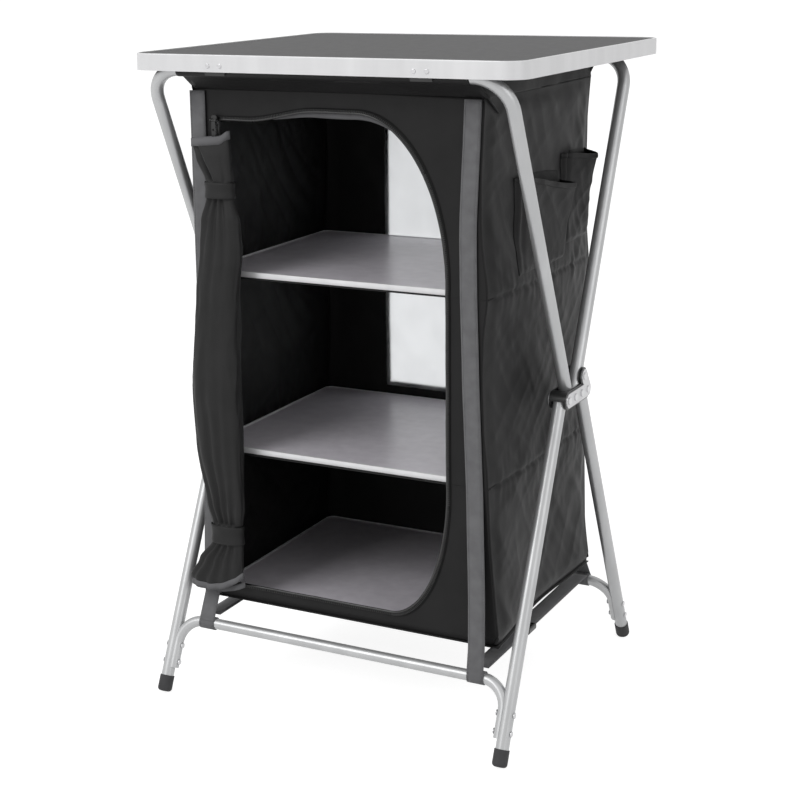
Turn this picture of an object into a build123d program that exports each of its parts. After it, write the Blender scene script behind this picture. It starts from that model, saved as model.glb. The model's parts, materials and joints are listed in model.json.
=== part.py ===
from build123d import *
from math import atan2, cos, degrees, hypot, radians, sin, tan
import os

os.makedirs("parts", exist_ok=True)

# Folding camping cupboard. Millimetres and degrees, Z up, the door faces -Y.
# Distances in Y are from the middle of the hinge. The finished pieces are moved
# once, at the end, so that the origin is the middle of the footprint on the floor.

# The whole cupboard
TABLE_W = 600.0
TABLE_D = 560.0
TABLE_H = 960.0
CABINET_D = 380.0

# Frame tubes
TUBE_D = 19.0
TUBE_WALL = 1.2
LEAN = 25.0
SIDE_INSET = 25.0
PIVOT_PITCH = 25.0
TOP_RAIL_DROP = 22.0
HINGE_DROP = 2.0
TOP_BEND_R = 50.0
UPPER_TAIL = 8.0
LOWER_TAIL = 4.0

# Bottom rails: a thinner tube, dented at its ends where it hugs the legs
RAIL_D = 16.0
RAIL_NEST = 7.5
BOTTOM_RAIL_Z = 104.0
BOTTOM_BEND_R = 38.0
RAIL_SEAT_GAP = 0.2
RAIL_END = 39.0
RAIL_RIVET_LOW = 48.0
RAIL_RIVET_PITCH = 25.0

# Feet
FOOT_D = 21.6
FOOT_H = 24.0
FOOT_FLOOR = 4.0
FOOT_EDGE_R = 5.0
FOOT_OVERRUN = 2.0
FOOT_FIT = 0.1

# Hinge plates, their black saddles and rivets
PLATE_T = 2.0
PLATE_R = 10.5
ARM_LENGTH = 24.7
SADDLE_T = 2.7
SADDLE_R = 13.0
WEB_INNER_R = 10.6
WEB_TOP_ANGLE = 70.0
WEB_FRONT_ANGLE = 177.0
RIVET_D = 6.0
RIVET_HEAD_D = 11.0
RIVET_HEAD_T = 1.6
SMALL_RIVET_D = 4.8
SMALL_HEAD_D = 8.5
SMALL_HEAD_T = 1.4

# Table top: its board is stepped under the lip of the rim
TABLE_CORNER_R = 30.0
RIM_H = 24.0
RIM_T = 1.5
RIM_LIP = 3.5
RIM_LIP_T = 1.3
LEDGE_W = 6.0
LEDGE_T = 1.0
BOARD_T = 9.6
BOARD_STEP = 0.3
BOARD_FIT = 0.2
CLIP_INSET = 142.0
CLIP_W = 32.0
CLIP_T = 1.6
CLIP_HOOK_ANGLE = 34.0
CLIP_RIVET_PITCH = 19.0
CLIP_RIVET_DROP = 15.4
CLIP_HEAD_D = 6.5

# Cloth cupboard
FABRIC_T = 1.5
CABINET_INSET = 43.0
CABINET_DROP = 30.0
CABINET_RISE = 38.0
SLEEVE_T = 1.0
VALANCE_INSET = 4.0
GUSSET_H = 22.0
GUSSET_REACH = 20.0

# Door opening, seen from the front: straight left edge, round right corners
DOOR_LEFT_EDGE = 43.0
DOOR_RIGHT_EDGE = 65.0
DOOR_TOP_EDGE = 28.0
DOOR_FOOT_EDGE = 26.0
DOOR_ARCH_H = 16.0
DOOR_TOP_BEND = (138.0, 230.0)
DOOR_FOOT_BEND = (90.0, 190.0)
ZIP_W = 6.0
ZIP_T = 1.6
SLIDER_SIZE = (9.0, 4.0, 14.0)
PULL_W = 7.0
PULL_T = 1.4
PULL_LENGTH = 24.0
PULL_BAR_D = 1.6
PULL_EYE_D = 4.6

# Window in the back, from above the middle shelf
WINDOW_SIDE_EDGE = 119.0
WINDOW_TOP_EDGE = 42.0
WINDOW_RISE = 16.0
WINDOW_T = 0.8

# Shelves, with the depth of their tops below the top of the cloth
SHELF_SIDE_GAP = 6.0
SHELF_END_GAP = 7.0
SHELF_T = 8.0
SHELF_CORNER_R = 12.0
SHELF_RIM_T = 1.0
SHELF_LIP = 3.5
SHELF_LIP_T = 0.8
SHELF_DROPS = {"upper": 263.0, "middle": 528.0}

# Pockets on the right wall: front and rear edge before the back corner,
# bottom and mouth below the top of the cloth
POCKETS = {
    "pocket_front": (290.0, 128.0, 253.0, 123.0),
    "pocket_rear": (124.0, 8.0, 236.0, 108.0),
}
POCKET_FOOT_OUT = 5.0
POCKET_MOUTH_OUT = 21.0

# Rolled door from the hem to the flare: share of the opening's height, distance
# of its middle left of the opening's edge, width, depth
ROLL_SECTIONS = [
    (0.960, 8.0, 64.0, 15.0),
    (0.925, 2.0, 58.0, 19.0),
    (0.875, -8.0, 44.0, 21.0),
    (0.842, -8.0, 44.0, 21.0),
    (0.795, -9.0, 64.0, 27.0),
    (0.740, -10.0, 70.0, 31.0),
    (0.640, -3.0, 71.0, 34.0),
    (0.425, 2.0, 83.0, 38.0),
    (0.315, 0.0, 79.0, 36.0),
    (0.185, -4.0, 63.0, 29.0),
    (0.138, -4.0, 50.0, 22.0),
    (0.098, -4.0, 50.0, 22.0),
    (0.055, 7.0, 74.0, 26.0),
    (0.010, 16.0, 91.0, 26.0),
    (-0.012, 15.0, 86.0, 24.0),
]
ROLL_EDGE_SHARE = 0.48
TIE_T = 1.5
TIE_SECTIONS = [(3, 2), (11, 10)]

# Webbing
STRAP_W = 25.0
STRAP_T = 1.4
STRAP_INSET = 11.0
BUCKLE_Y = -40.0
BUCKLE_LENGTH = 26.0
BUCKLE_WALL = 3.0
BUCKLE_BARS = 3
BUCKLE_BAR_W = 4.0
TAIL_LENGTH = 70.0

# Clearances
GAP = 0.3
RUNNING_FIT = 0.05

# Derived sizes
TUBE_R = TUBE_D / 2
RAIL_R = RAIL_D / 2
SIDE_X = TABLE_W / 2 - SIDE_INSET
TOP_RAIL_Z = TABLE_H - TOP_RAIL_DROP
HINGE_Z = TOP_RAIL_Z / 2 - HINGE_DROP
SIN, COS, TAN = sin(radians(LEAN)), cos(radians(LEAN)), tan(radians(LEAN))
LEG_LENGTH = HINGE_Z / COS
TOP_ARM = (TOP_RAIL_Z - HINGE_Z) / COS
PIVOT_Y = [PIVOT_PITCH * (i - 1.5) for i in range(4)]
LOWER_FRONT, UPPER_FRONT, UPPER_REAR, LOWER_REAR = PIVOT_Y
TOP_RAIL_Y = UPPER_REAR + TOP_ARM * SIN
BOTTOM_RAIL_Y = LOWER_REAR + (HINGE_Z - BOTTOM_RAIL_Z) * TAN
RAIL_X = SIDE_X - RAIL_NEST
RAIL_S = BOTTOM_RAIL_Z / COS - LEG_LENGTH
RAIL_RIVETS = [RAIL_RIVET_LOW - LEG_LENGTH + i * RAIL_RIVET_PITCH for i in range(2)]
ARM_RIVET = (UPPER_REAR + ARM_LENGTH * SIN, ARM_LENGTH * COS)
SADDLE_IN = TUBE_R + GAP
PLATE_IN = SADDLE_IN + SADDLE_T
PLATE_OUT = PLATE_IN + PLATE_T
CABINET_W = 2 * (SIDE_X - CABINET_INSET)
CABINET_TOP_Z = TOP_RAIL_Z - CABINET_DROP
CABINET_BOTTOM_Z = BOTTOM_RAIL_Z + CABINET_RISE
FABRIC_X = CABINET_W / 2 - FABRIC_T
FABRIC_Y = CABINET_D / 2 - FABRIC_T
FRONT_Y = -CABINET_D / 2
LIP_Z = TABLE_H - RIM_LIP_T
BOARD_Z = LIP_Z + BOARD_STEP - BOARD_T
CLIP_X = TABLE_W / 2 - CLIP_INSET
SLEEVE_W = 2 * (SIDE_X - TOP_BEND_R)
SLEEVE_OUT = TUBE_R + GAP + SLEEVE_T
VALANCE_W = CABINET_W - 2 * VALANCE_INSET
GUSSET_TOP_Z = CABINET_TOP_Z + GUSSET_H
DOOR_LEFT_X = DOOR_LEFT_EDGE - CABINET_W / 2
DOOR_RIGHT_X = CABINET_W / 2 - DOOR_RIGHT_EDGE
DOOR_TOP_Z = CABINET_TOP_Z - DOOR_TOP_EDGE
DOOR_LEFT_TOP_Z = DOOR_TOP_Z - DOOR_ARCH_H
DOOR_BOTTOM_Z = CABINET_BOTTOM_Z + DOOR_FOOT_EDGE
CLIP_IN = SLEEVE_OUT + GAP
SKIRT_GAP = CLIP_IN + CLIP_T
TABLE_FRONT = -TOP_RAIL_Y - SKIRT_GAP - RIM_T
TABLE_Y = TABLE_FRONT + TABLE_D / 2
CLIP_RIVET_Z = TABLE_H - CLIP_RIVET_DROP
SHELF_W = CABINET_W - 2 * SHELF_SIDE_GAP
SHELF_D = CABINET_D - 2 * SHELF_END_GAP
SHELF_LEVELS = {level: CABINET_TOP_Z - drop for level, drop in SHELF_DROPS.items()}
SHELF_LEVELS["lower"] = CABINET_BOTTOM_Z + FABRIC_T + GAP + SHELF_T
WINDOW_W = CABINET_W - 2 * WINDOW_SIDE_EDGE
WINDOW_TOP_Z = CABINET_TOP_Z - WINDOW_TOP_EDGE
WINDOW_BOTTOM_Z = SHELF_LEVELS["middle"] + WINDOW_RISE
STRAP_X = CABINET_W / 2 - STRAP_INSET
STRAP_BACK = FRONT_Y - GAP
STRAP_FRONT = STRAP_BACK - STRAP_T
ZIP_FRONT = FRONT_Y - GAP - ZIP_T
ROLL_BACK = min(STRAP_FRONT, ZIP_FRONT) - GAP
LOOP_IN = RAIL_R + GAP
LOOP_OUT = LOOP_IN + STRAP_T
LOOP_MID = LOOP_IN + STRAP_T / 2
SIDES = {"left": -1, "right": 1}

pieces = {}


def keep(name, piece):
    piece.label = name
    pieces[name] = piece


def tube_plane(pivot_y, lean_y):
    """Plane of a frame: x across the cupboard, y up along its leaning tubes."""
    return Plane(origin=(0, pivot_y, HINGE_Z), x_dir=(1, 0, 0), z_dir=(0, -COS, lean_y * SIN))


def side_plane(x, y=0.0, z=HINGE_Z):
    """Plane facing +X at x, with its own x along +Y and its y along +Z."""
    return Plane(origin=(x, y, z), x_dir=(0, 1, 0), z_dir=(1, 0, 0))


def tube_point(pivot_y, lean_y, s):
    """Height and depth of the point s along a leaning tube from its pivot."""
    return pivot_y + lean_y * s * SIN, HINGE_Z + s * COS


def cross_holes(points, radius, x, reach):
    """Round holes along X through what stands at x, at each (y, z)."""
    for y, z in points:
        with BuildSketch(side_plane(x, y, z)) as hole:
            Circle(radius)
        extrude(hole.sketch, amount=reach, both=True, mode=Mode.SUBTRACT)


def tube_ring():
    Circle(TUBE_R)
    Circle(TUBE_R - TUBE_WALL, mode=Mode.SUBTRACT)


def bent_tube(plane, half_width, end_s, rail_s, bend_r, outer, inner):
    """A U of round tube, rod where inner is 0, in the plane of its frame."""
    corners = [(-half_width, end_s), (-half_width, rail_s), (half_width, rail_s), (half_width, end_s)]
    start = plane.from_local_coords((-half_width, end_s, 0))
    rise = plane.y_dir if rail_s > end_s else -plane.y_dir
    with BuildPart() as bent:
        with BuildLine(plane) as path:
            FilletPolyline(*corners, radius=bend_r)
        with BuildSketch(Plane(origin=start, x_dir=(1, 0, 0), z_dir=rise)):
            Circle(outer)
            if inner:
                Circle(inner, mode=Mode.SUBTRACT)
        sweep(path=path.line)
    return bent.part


def upper_tube(pivot_y, lean_y, holes):
    plane = tube_plane(pivot_y, lean_y)
    raw = bent_tube(plane, SIDE_X, -UPPER_TAIL, TOP_ARM, TOP_BEND_R, TUBE_R, TUBE_R - TUBE_WALL)
    with BuildPart() as tube:
        add(raw)
        for side in SIDES.values():
            cross_holes(holes, RIVET_D / 2 + RUNNING_FIT, side * SIDE_X, TUBE_D)
    return tube.part


def lower_leg(pivot_y, lean_y, side):
    plane = tube_plane(pivot_y, lean_y)
    x = side * SIDE_X
    top = plane.from_local_coords((x, LOWER_TAIL, 0))
    foot_end = LEG_LENGTH - FOOT_OVERRUN - FOOT_FLOOR
    with BuildPart() as leg:
        with BuildSketch(Plane(origin=top, x_dir=(1, 0, 0), z_dir=-plane.y_dir)):
            tube_ring()
        extrude(amount=foot_end + LOWER_TAIL)
        cross_holes([(pivot_y, HINGE_Z)], RIVET_D / 2 + RUNNING_FIT, x, TUBE_D)
        rivets = [tube_point(pivot_y, lean_y, s) for s in RAIL_RIVETS]
        cross_holes(rivets, SMALL_RIVET_D / 2 + RUNNING_FIT, x, TUBE_R + RAIL_SEAT_GAP)
    return leg.part


def bottom_rail(pivot_y, lean_y):
    """The legs' shape is taken out of the rail, and a wall further out of its bore."""
    plane = tube_plane(pivot_y, lean_y)
    route = (plane, RAIL_X, RAIL_END - LEG_LENGTH, RAIL_S, BOTTOM_BEND_R)
    seat_r = TUBE_R + RAIL_SEAT_GAP
    with BuildPart() as rail:
        for radius, dent_r, mode in (
            (RAIL_R, seat_r, Mode.ADD),
            (RAIL_R - TUBE_WALL, seat_r + TUBE_WALL, Mode.SUBTRACT),
        ):
            with BuildPart(mode=mode):
                add(bent_tube(*route, radius, 0))
                for side in SIDES.values():
                    start = plane.from_local_coords((side * SIDE_X, -LEG_LENGTH, 0))
                    with BuildSketch(Plane(origin=start, x_dir=(1, 0, 0), z_dir=plane.y_dir)):
                        Circle(dent_r)
                    extrude(amount=LEG_LENGTH, mode=Mode.SUBTRACT)
        for side in SIDES.values():
            rivets = [tube_point(pivot_y, lean_y, s) for s in RAIL_RIVETS]
            cross_holes(rivets, SMALL_RIVET_D / 2 + RUNNING_FIT, side * RAIL_X, RAIL_R + GAP)
    return rail.part


def feet(pivot_y, lean_y):
    """Two rubber caps on the leg ends, cut level where they stand."""
    plane = tube_plane(pivot_y, lean_y)
    with BuildPart() as caps:
        for side in SIDES.values():
            end = plane.from_local_coords((side * SIDE_X, FOOT_OVERRUN - LEG_LENGTH, 0))
            base = Plane(origin=end, x_dir=(1, 0, 0), z_dir=plane.y_dir)
            with BuildSketch(base):
                Circle(FOOT_D / 2)
            extrude(amount=FOOT_H)
            with BuildSketch(base.offset(FOOT_FLOOR)):
                Circle(TUBE_R + FOOT_FIT)
            extrude(amount=FOOT_H, mode=Mode.SUBTRACT)
        low_edges = caps.edges().filter_by(GeomType.CIRCLE).sort_by(Axis.Z)[:2]
        fillet(low_edges, FOOT_EDGE_R)
        split(bisect_by=Plane.XY, keep=Keep.TOP)
    return caps.part


def rivet_set(points, x_in, x_out, shaft_d, head_d, head_t):
    """Round-headed rivets along X, the same on both sides of the cupboard."""
    with BuildPart() as rivets:
        for side in SIDES.values():
            for y, z in points:
                with BuildSketch(side_plane(side * x_in, y, z)):
                    Circle(shaft_d / 2)
                extrude(amount=side * (x_out - x_in))
                for x, way in ((x_out, side), (x_in, -side)):
                    with BuildSketch(side_plane(side * x, y, z)):
                        Circle(head_d / 2)
                    extrude(amount=way * head_t)
        rims = rivets.edges().filter_by(GeomType.CIRCLE).filter_by(
            lambda e: abs(e.radius - head_d / 2) < RUNNING_FIT
            and abs(abs(abs(e.arc_center.X) - (x_in + x_out) / 2) - (x_out - x_in) / 2) > head_t / 2)
        fillet(rims, head_t * 0.6)
    return rivets.part


def hinge_outline(radius):
    """Row of four rivets with an arm up to the fifth."""
    arm = (ARM_RIVET[0] - LOWER_REAR, ARM_RIVET[1])
    SlotCenterToCenter(LOWER_REAR - LOWER_FRONT, 2 * radius)
    with Locations((LOWER_REAR + arm[0] / 2, arm[1] / 2)):
        SlotCenterToCenter(hypot(*arm), 2 * radius, rotation=degrees(atan2(arm[1], arm[0])))


def hinge_holes(x, reach):
    spots = [(y, HINGE_Z) for y in PIVOT_Y] + [(ARM_RIVET[0], HINGE_Z + ARM_RIVET[1])]
    cross_holes(spots, RIVET_D / 2 + RUNNING_FIT, x, reach)


def hinge_plate(x_in, x_out):
    with BuildPart() as plate:
        with BuildSketch(side_plane(x_in)):
            hinge_outline(PLATE_R)
        extrude(amount=x_out - x_in)
        hinge_holes(x_in, 2 * PLATE_T)
    return plate.part


def hinge_saddle(side):
    """Two black cheeks joined by a web round the top of the lower front leg."""
    x = side * SIDE_X
    start, end = radians(WEB_TOP_ANGLE), radians(WEB_FRONT_ANGLE)
    middle = (start + end) / 2
    with BuildPart() as saddle:
        for way in (-1, 1):
            with BuildSketch(side_plane(x + way * SADDLE_IN)):
                hinge_outline(SADDLE_R)
            extrude(amount=way * SADDLE_T)
        with BuildSketch(side_plane(x, LOWER_FRONT)):
            with BuildLine():
                points = {}
                for name, r in (("in", WEB_INNER_R), ("out", SADDLE_R)):
                    points[name] = [(r * cos(a), r * sin(a)) for a in (start, middle, end)]
                    ThreePointArc(*points[name])
                Line(points["in"][0], points["out"][0])
                Line(points["in"][2], points["out"][2])
            make_face()
        extrude(amount=SADDLE_IN, both=True)
        hinge_holes(x, PLATE_OUT)
    return saddle.part


# Upper frames and hinges
hinge_row = [(y, HINGE_Z) for y in PIVOT_Y]
arm_hole = (ARM_RIVET[0], HINGE_Z + ARM_RIVET[1])
keep("upper_front_tube", upper_tube(UPPER_FRONT, -1, [hinge_row[1]]))
keep("upper_rear_tube", upper_tube(UPPER_REAR, 1, [hinge_row[2], arm_hole]))
for side_name, side in SIDES.items():
    for place, near, far in (("outer", PLATE_IN, PLATE_OUT), ("inner", -PLATE_IN, -PLATE_OUT)):
        plate = hinge_plate(side * (SIDE_X + near), side * (SIDE_X + far))
        keep(f"hinge_plate_{place}_{side_name}", plate)
    keep(f"hinge_saddle_{side_name}", hinge_saddle(side))
hinge_span = (SIDE_X - PLATE_OUT, SIDE_X + PLATE_OUT)
keep("hinge_fixed_rivets", rivet_set(
    [hinge_row[0], hinge_row[2], arm_hole], *hinge_span, RIVET_D, RIVET_HEAD_D, RIVET_HEAD_T))
keep("hinge_pivot_rivets", rivet_set(
    [hinge_row[1], hinge_row[3]], *hinge_span, RIVET_D, RIVET_HEAD_D, RIVET_HEAD_T))

# Lower frames
for end_name, pivot_y, lean_y in (("front", LOWER_FRONT, 1), ("rear", LOWER_REAR, -1)):
    for side_name, side in SIDES.items():
        keep(f"{end_name}_leg_{side_name}", lower_leg(pivot_y, lean_y, side))
    keep(f"{end_name}_bottom_rail", bottom_rail(pivot_y, lean_y))
    keep(f"{end_name}_feet", feet(pivot_y, lean_y))
    rail_rivets = [tube_point(pivot_y, lean_y, s) for s in RAIL_RIVETS]
    keep(f"{end_name}_rail_rivets", rivet_set(
        rail_rivets, RAIL_X - RAIL_R - GAP, SIDE_X + TUBE_R + RUNNING_FIT,
        SMALL_RIVET_D, SMALL_HEAD_D, SMALL_HEAD_T))


# Table top
with BuildPart() as board:
    edge = RIM_T + BOARD_FIT
    with BuildSketch(Plane((0, TABLE_Y, BOARD_Z))):
        RectangleRounded(TABLE_W - 2 * edge, TABLE_D - 2 * edge, TABLE_CORNER_R - edge)
    extrude(amount=BOARD_T - BOARD_STEP)
    edge = RIM_LIP + BOARD_FIT
    with BuildSketch(Plane((0, TABLE_Y, LIP_Z))):
        RectangleRounded(TABLE_W - 2 * edge, TABLE_D - 2 * edge, TABLE_CORNER_R - edge)
    extrude(amount=BOARD_STEP)
keep("tabletop_board", board.part)

with BuildPart() as rim:
    bands = (
        (TABLE_H - RIM_H, RIM_H, RIM_T),
        (LIP_Z, RIM_LIP_T, RIM_LIP),
        (BOARD_Z - LEDGE_T, LEDGE_T, LEDGE_W),
    )
    for low, height, inward in bands:
        with BuildSketch(Plane((0, TABLE_Y, low))):
            RectangleRounded(TABLE_W, TABLE_D, TABLE_CORNER_R)
            RectangleRounded(TABLE_W - 2 * inward, TABLE_D - 2 * inward,
                             TABLE_CORNER_R - inward, mode=Mode.SUBTRACT)
        extrude(amount=height)
    fillet(rim.faces().sort_by(Axis.Z)[-1].outer_wire().edges(), RIM_LIP_T * 0.9)
    for middle in (-CLIP_X, CLIP_X):
        for way in (-0.5, 0.5):
            spot = (middle + way * CLIP_RIVET_PITCH, TABLE_FRONT, CLIP_RIVET_Z)
            with BuildSketch(Plane(origin=spot, x_dir=(1, 0, 0), z_dir=(0, 1, 0))):
                Circle(SMALL_RIVET_D / 2 + RUNNING_FIT)
            extrude(amount=RIM_T, both=True, mode=Mode.SUBTRACT)
keep("tabletop_rim", rim.part)

with BuildPart() as clips:
    hook_end = radians(180 + CLIP_HOOK_ANGLE)
    hook_mid = radians(180 + CLIP_HOOK_ANGLE / 2)
    plate_top = BOARD_Z - LEDGE_T - GAP - TOP_RAIL_Z
    inner_r, outer_r = CLIP_IN, SKIRT_GAP
    for middle in (-CLIP_X, CLIP_X):
        with BuildSketch(side_plane(middle - CLIP_W / 2, -TOP_RAIL_Y, TOP_RAIL_Z)):
            with BuildLine():
                Polyline((-inner_r, 0), (-inner_r, plate_top), (-outer_r, plate_top), (-outer_r, 0))
                ThreePointArc((-outer_r, 0),
                              (outer_r * cos(hook_mid), outer_r * sin(hook_mid)),
                              (outer_r * cos(hook_end), outer_r * sin(hook_end)))
                Line((outer_r * cos(hook_end), outer_r * sin(hook_end)),
                     (inner_r * cos(hook_end), inner_r * sin(hook_end)))
                ThreePointArc((inner_r * cos(hook_end), inner_r * sin(hook_end)),
                              (inner_r * cos(hook_mid), inner_r * sin(hook_mid)),
                              (-inner_r, 0))
            make_face()
        extrude(amount=CLIP_W)
        for way in (-0.5, 0.5):
            spot = (middle + way * CLIP_RIVET_PITCH, -TOP_RAIL_Y - inner_r, CLIP_RIVET_Z)
            with BuildSketch(Plane(origin=spot, x_dir=(1, 0, 0), z_dir=(0, 1, 0))):
                Circle(SMALL_RIVET_D / 2 + RUNNING_FIT)
            extrude(amount=CLIP_T * 2, both=True, mode=Mode.SUBTRACT)
keep("tabletop_clips", clips.part)

with BuildPart() as clip_rivets:
    for middle in (-CLIP_X, CLIP_X):
        for way in (-0.5, 0.5):
            x = middle + way * CLIP_RIVET_PITCH
            for y, depth, radius in (
                (TABLE_FRONT - SMALL_HEAD_T, SMALL_HEAD_T, CLIP_HEAD_D / 2),
                (TABLE_FRONT, RIM_T + CLIP_T, SMALL_RIVET_D / 2),
                (TABLE_FRONT + RIM_T + CLIP_T, SMALL_HEAD_T / 2, CLIP_HEAD_D / 2),
            ):
                spot = (x, y, CLIP_RIVET_Z)
                with BuildSketch(Plane(origin=spot, x_dir=(1, 0, 0), z_dir=(0, 1, 0))):
                    Circle(radius)
                extrude(amount=depth)
    fronts = clip_rivets.faces().filter_by(Axis.Y).group_by(Axis.Y)[0]
    fillet(fronts.edges(), SMALL_HEAD_T * 0.6)
keep("tabletop_clip_rivets", clip_rivets.part)


# Shelves: a smooth board in a thin metal rim
def shelf_plane(z):
    return Plane((0, 0, z))


for level, top in SHELF_LEVELS.items():
    with BuildPart() as shelf_rim:
        for low, height, inward in (
            (top - SHELF_T, SHELF_T, SHELF_RIM_T),
            (top - SHELF_LIP_T, SHELF_LIP_T, SHELF_LIP),
            (top - SHELF_T, SHELF_LIP_T, SHELF_LIP),
        ):
            with BuildSketch(shelf_plane(low)):
                RectangleRounded(SHELF_W, SHELF_D, SHELF_CORNER_R)
                RectangleRounded(SHELF_W - 2 * inward, SHELF_D - 2 * inward,
                                 SHELF_CORNER_R - inward, mode=Mode.SUBTRACT)
            extrude(amount=height)
    keep(f"shelf_rim_{level}", shelf_rim.part)
    with BuildPart() as shelf_board:
        edge = SHELF_RIM_T + BOARD_FIT
        with BuildSketch(shelf_plane(top - SHELF_T + SHELF_LIP_T)):
            RectangleRounded(SHELF_W - 2 * edge, SHELF_D - 2 * edge, SHELF_CORNER_R - edge)
        extrude(amount=SHELF_T - 2 * SHELF_LIP_T)
    keep(f"shelf_board_{level}", shelf_board.part)
    with BuildPart() as floor_cloth:
        with BuildSketch(shelf_plane(top - SHELF_T - GAP - FABRIC_T)):
            Rectangle(2 * FABRIC_X, 2 * FABRIC_Y)
        extrude(amount=FABRIC_T)
    keep(f"floor_cloth_{level}", floor_cloth.part)


# Cloth walls
def door_outline(grow=0.0):
    """The zipped opening, with its wide round corner at the top right."""
    left, right = DOOR_LEFT_X - grow, DOOR_RIGHT_X + grow
    top, bottom = DOOR_TOP_Z + grow, DOOR_BOTTOM_Z - grow
    bend_x, bend_z = right - DOOR_TOP_BEND[0], top - DOOR_TOP_BEND[1]
    foot_x, foot_z = right - DOOR_FOOT_BEND[0], bottom + DOOR_FOOT_BEND[1]
    with BuildLine() as outline:
        Line((left, bottom), (left, DOOR_LEFT_TOP_Z + grow))
        Spline((left, DOOR_LEFT_TOP_Z + grow), (bend_x, top), tangents=((1, 0.25), (1, 0)))
        Spline((bend_x, top), (right, bend_z), tangents=((1, 0), (0, -1)))
        Line((right, bend_z), (right, foot_z))
        Spline((right, foot_z), (foot_x, bottom), tangents=((0, -1), (-1, 0)))
        Line((foot_x, bottom), (left, bottom))
    make_face(outline.edges())


def front_plane(y):
    """Plane facing -Y at y, with its own x along +X and its y along +Z."""
    return Plane(origin=(0, y, 0), x_dir=(1, 0, 0), z_dir=(0, -1, 0))


wall_mid_z = (CABINET_TOP_Z + CABINET_BOTTOM_Z) / 2
wall_height = CABINET_TOP_Z - CABINET_BOTTOM_Z

with BuildPart() as front_panel:
    with BuildSketch(front_plane(-FABRIC_Y)):
        with Locations((0, wall_mid_z)):
            Rectangle(2 * FABRIC_X, wall_height)
        with BuildSketch(mode=Mode.SUBTRACT):
            door_outline()
    extrude(amount=FABRIC_T)
keep("front_panel", front_panel.part)

with BuildPart() as door_zip:
    with BuildSketch(front_plane(FRONT_Y - GAP)):
        with BuildSketch():
            door_outline(ZIP_W)
        with BuildSketch(mode=Mode.SUBTRACT):
            door_outline()
    extrude(amount=ZIP_T)
keep("door_zip", door_zip.part)

window_mid_z = (WINDOW_TOP_Z + WINDOW_BOTTOM_Z) / 2
window_height = WINDOW_TOP_Z - WINDOW_BOTTOM_Z
with BuildPart() as back_panel:
    with BuildSketch(front_plane(CABINET_D / 2)):
        with Locations((0, wall_mid_z)):
            Rectangle(2 * FABRIC_X, wall_height)
        with Locations((0, window_mid_z)):
            Rectangle(WINDOW_W, window_height, mode=Mode.SUBTRACT)
    extrude(amount=FABRIC_T)
keep("back_panel", back_panel.part)

with BuildPart() as back_window:
    with BuildSketch(front_plane(CABINET_D / 2 - (FABRIC_T - WINDOW_T) / 2)):
        with Locations((0, window_mid_z)):
            Rectangle(WINDOW_W, window_height)
    extrude(amount=WINDOW_T)
keep("back_window", back_window.part)

for side_name, side in SIDES.items():
    with BuildPart() as side_panel:
        with BuildSketch(side_plane(side * FABRIC_X, 0, wall_mid_z)):
            Rectangle(CABINET_D, wall_height)
        extrude(amount=side * FABRIC_T)
    keep(f"side_panel_{side_name}", side_panel.part)

    with BuildPart() as gusset:
        low, high = CABINET_TOP_Z + GAP, GUSSET_TOP_Z
        foot, head = CABINET_D / 2, CABINET_D / 2 + GUSSET_REACH
        with BuildSketch(side_plane(side * FABRIC_X, 0, 0)):
            Polygon((-foot, low), (foot, low), (head, high), (-head, high), align=None)
        extrude(amount=side * FABRIC_T)
    keep(f"top_gusset_{side_name}", gusset.part)


# Sloping cloth from the top of the walls to a sleeve round each top rail
def valance(way):
    rail_y, rail_z = way * TOP_RAIL_Y, TOP_RAIL_Z
    seam_y, seam_z = way * (CABINET_D / 2 - FABRIC_T), CABINET_TOP_Z + GAP + FABRIC_T
    run, rise = rail_y - seam_y, rail_z - seam_z
    reach = 1 - (TUBE_R + GAP) / hypot(run, rise)
    with BuildPart() as cloth:
        with BuildSketch(side_plane(-VALANCE_W / 2, 0, 0)):
            with BuildLine():
                hang = Line((seam_y, seam_z), (seam_y + reach * run, seam_z + reach * rise))
            trace(hang, SLEEVE_T)
        extrude(amount=VALANCE_W)
        with BuildSketch(side_plane(-SLEEVE_W / 2, rail_y, rail_z)):
            Circle(SLEEVE_OUT)
            Circle(TUBE_R + GAP, mode=Mode.SUBTRACT)
        extrude(amount=SLEEVE_W)
    return cloth.part


keep("valance_front", valance(-1))
keep("valance_back", valance(1))

# Pockets: open at the top, wider at the mouth
for name, (near_edge, far_edge, foot_drop, mouth_drop) in POCKETS.items():
    wall = CABINET_W / 2
    near, far = CABINET_D / 2 - near_edge, CABINET_D / 2 - far_edge
    low, mouth = CABINET_TOP_Z - foot_drop, CABINET_TOP_Z - mouth_drop
    lift = FABRIC_T * (POCKET_MOUTH_OUT - POCKET_FOOT_OUT) / (mouth - low)
    with BuildPart() as pocket:
        with BuildSketch(Plane(origin=(0, near, 0), x_dir=(1, 0, 0), z_dir=(0, -1, 0))):
            Polygon((wall, low), (wall + POCKET_FOOT_OUT, low),
                    (wall + POCKET_MOUTH_OUT, mouth), (wall, mouth), align=None)
        extrude(amount=near - far)
        with BuildSketch(Plane(origin=(0, near + FABRIC_T, 0), x_dir=(1, 0, 0), z_dir=(0, -1, 0))):
            Polygon((wall, low + FABRIC_T), (wall + POCKET_FOOT_OUT - FABRIC_T + lift, low + FABRIC_T),
                    (wall + POCKET_MOUTH_OUT - FABRIC_T + lift, mouth + FABRIC_T),
                    (wall, mouth + FABRIC_T), align=None)
        extrude(amount=near - far + 2 * FABRIC_T, mode=Mode.SUBTRACT)
    keep(name, pocket.part)


# Door, rolled to the left and tied twice
def roll_section(out_left, width, depth, grow=0.0):
    with Locations((DOOR_LEFT_X - out_left, -ROLL_BACK + depth / 2)):
        radius = min(width, depth) * ROLL_EDGE_SHARE + grow
        RectangleRounded(width + 2 * grow, depth + 2 * grow, radius)


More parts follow.
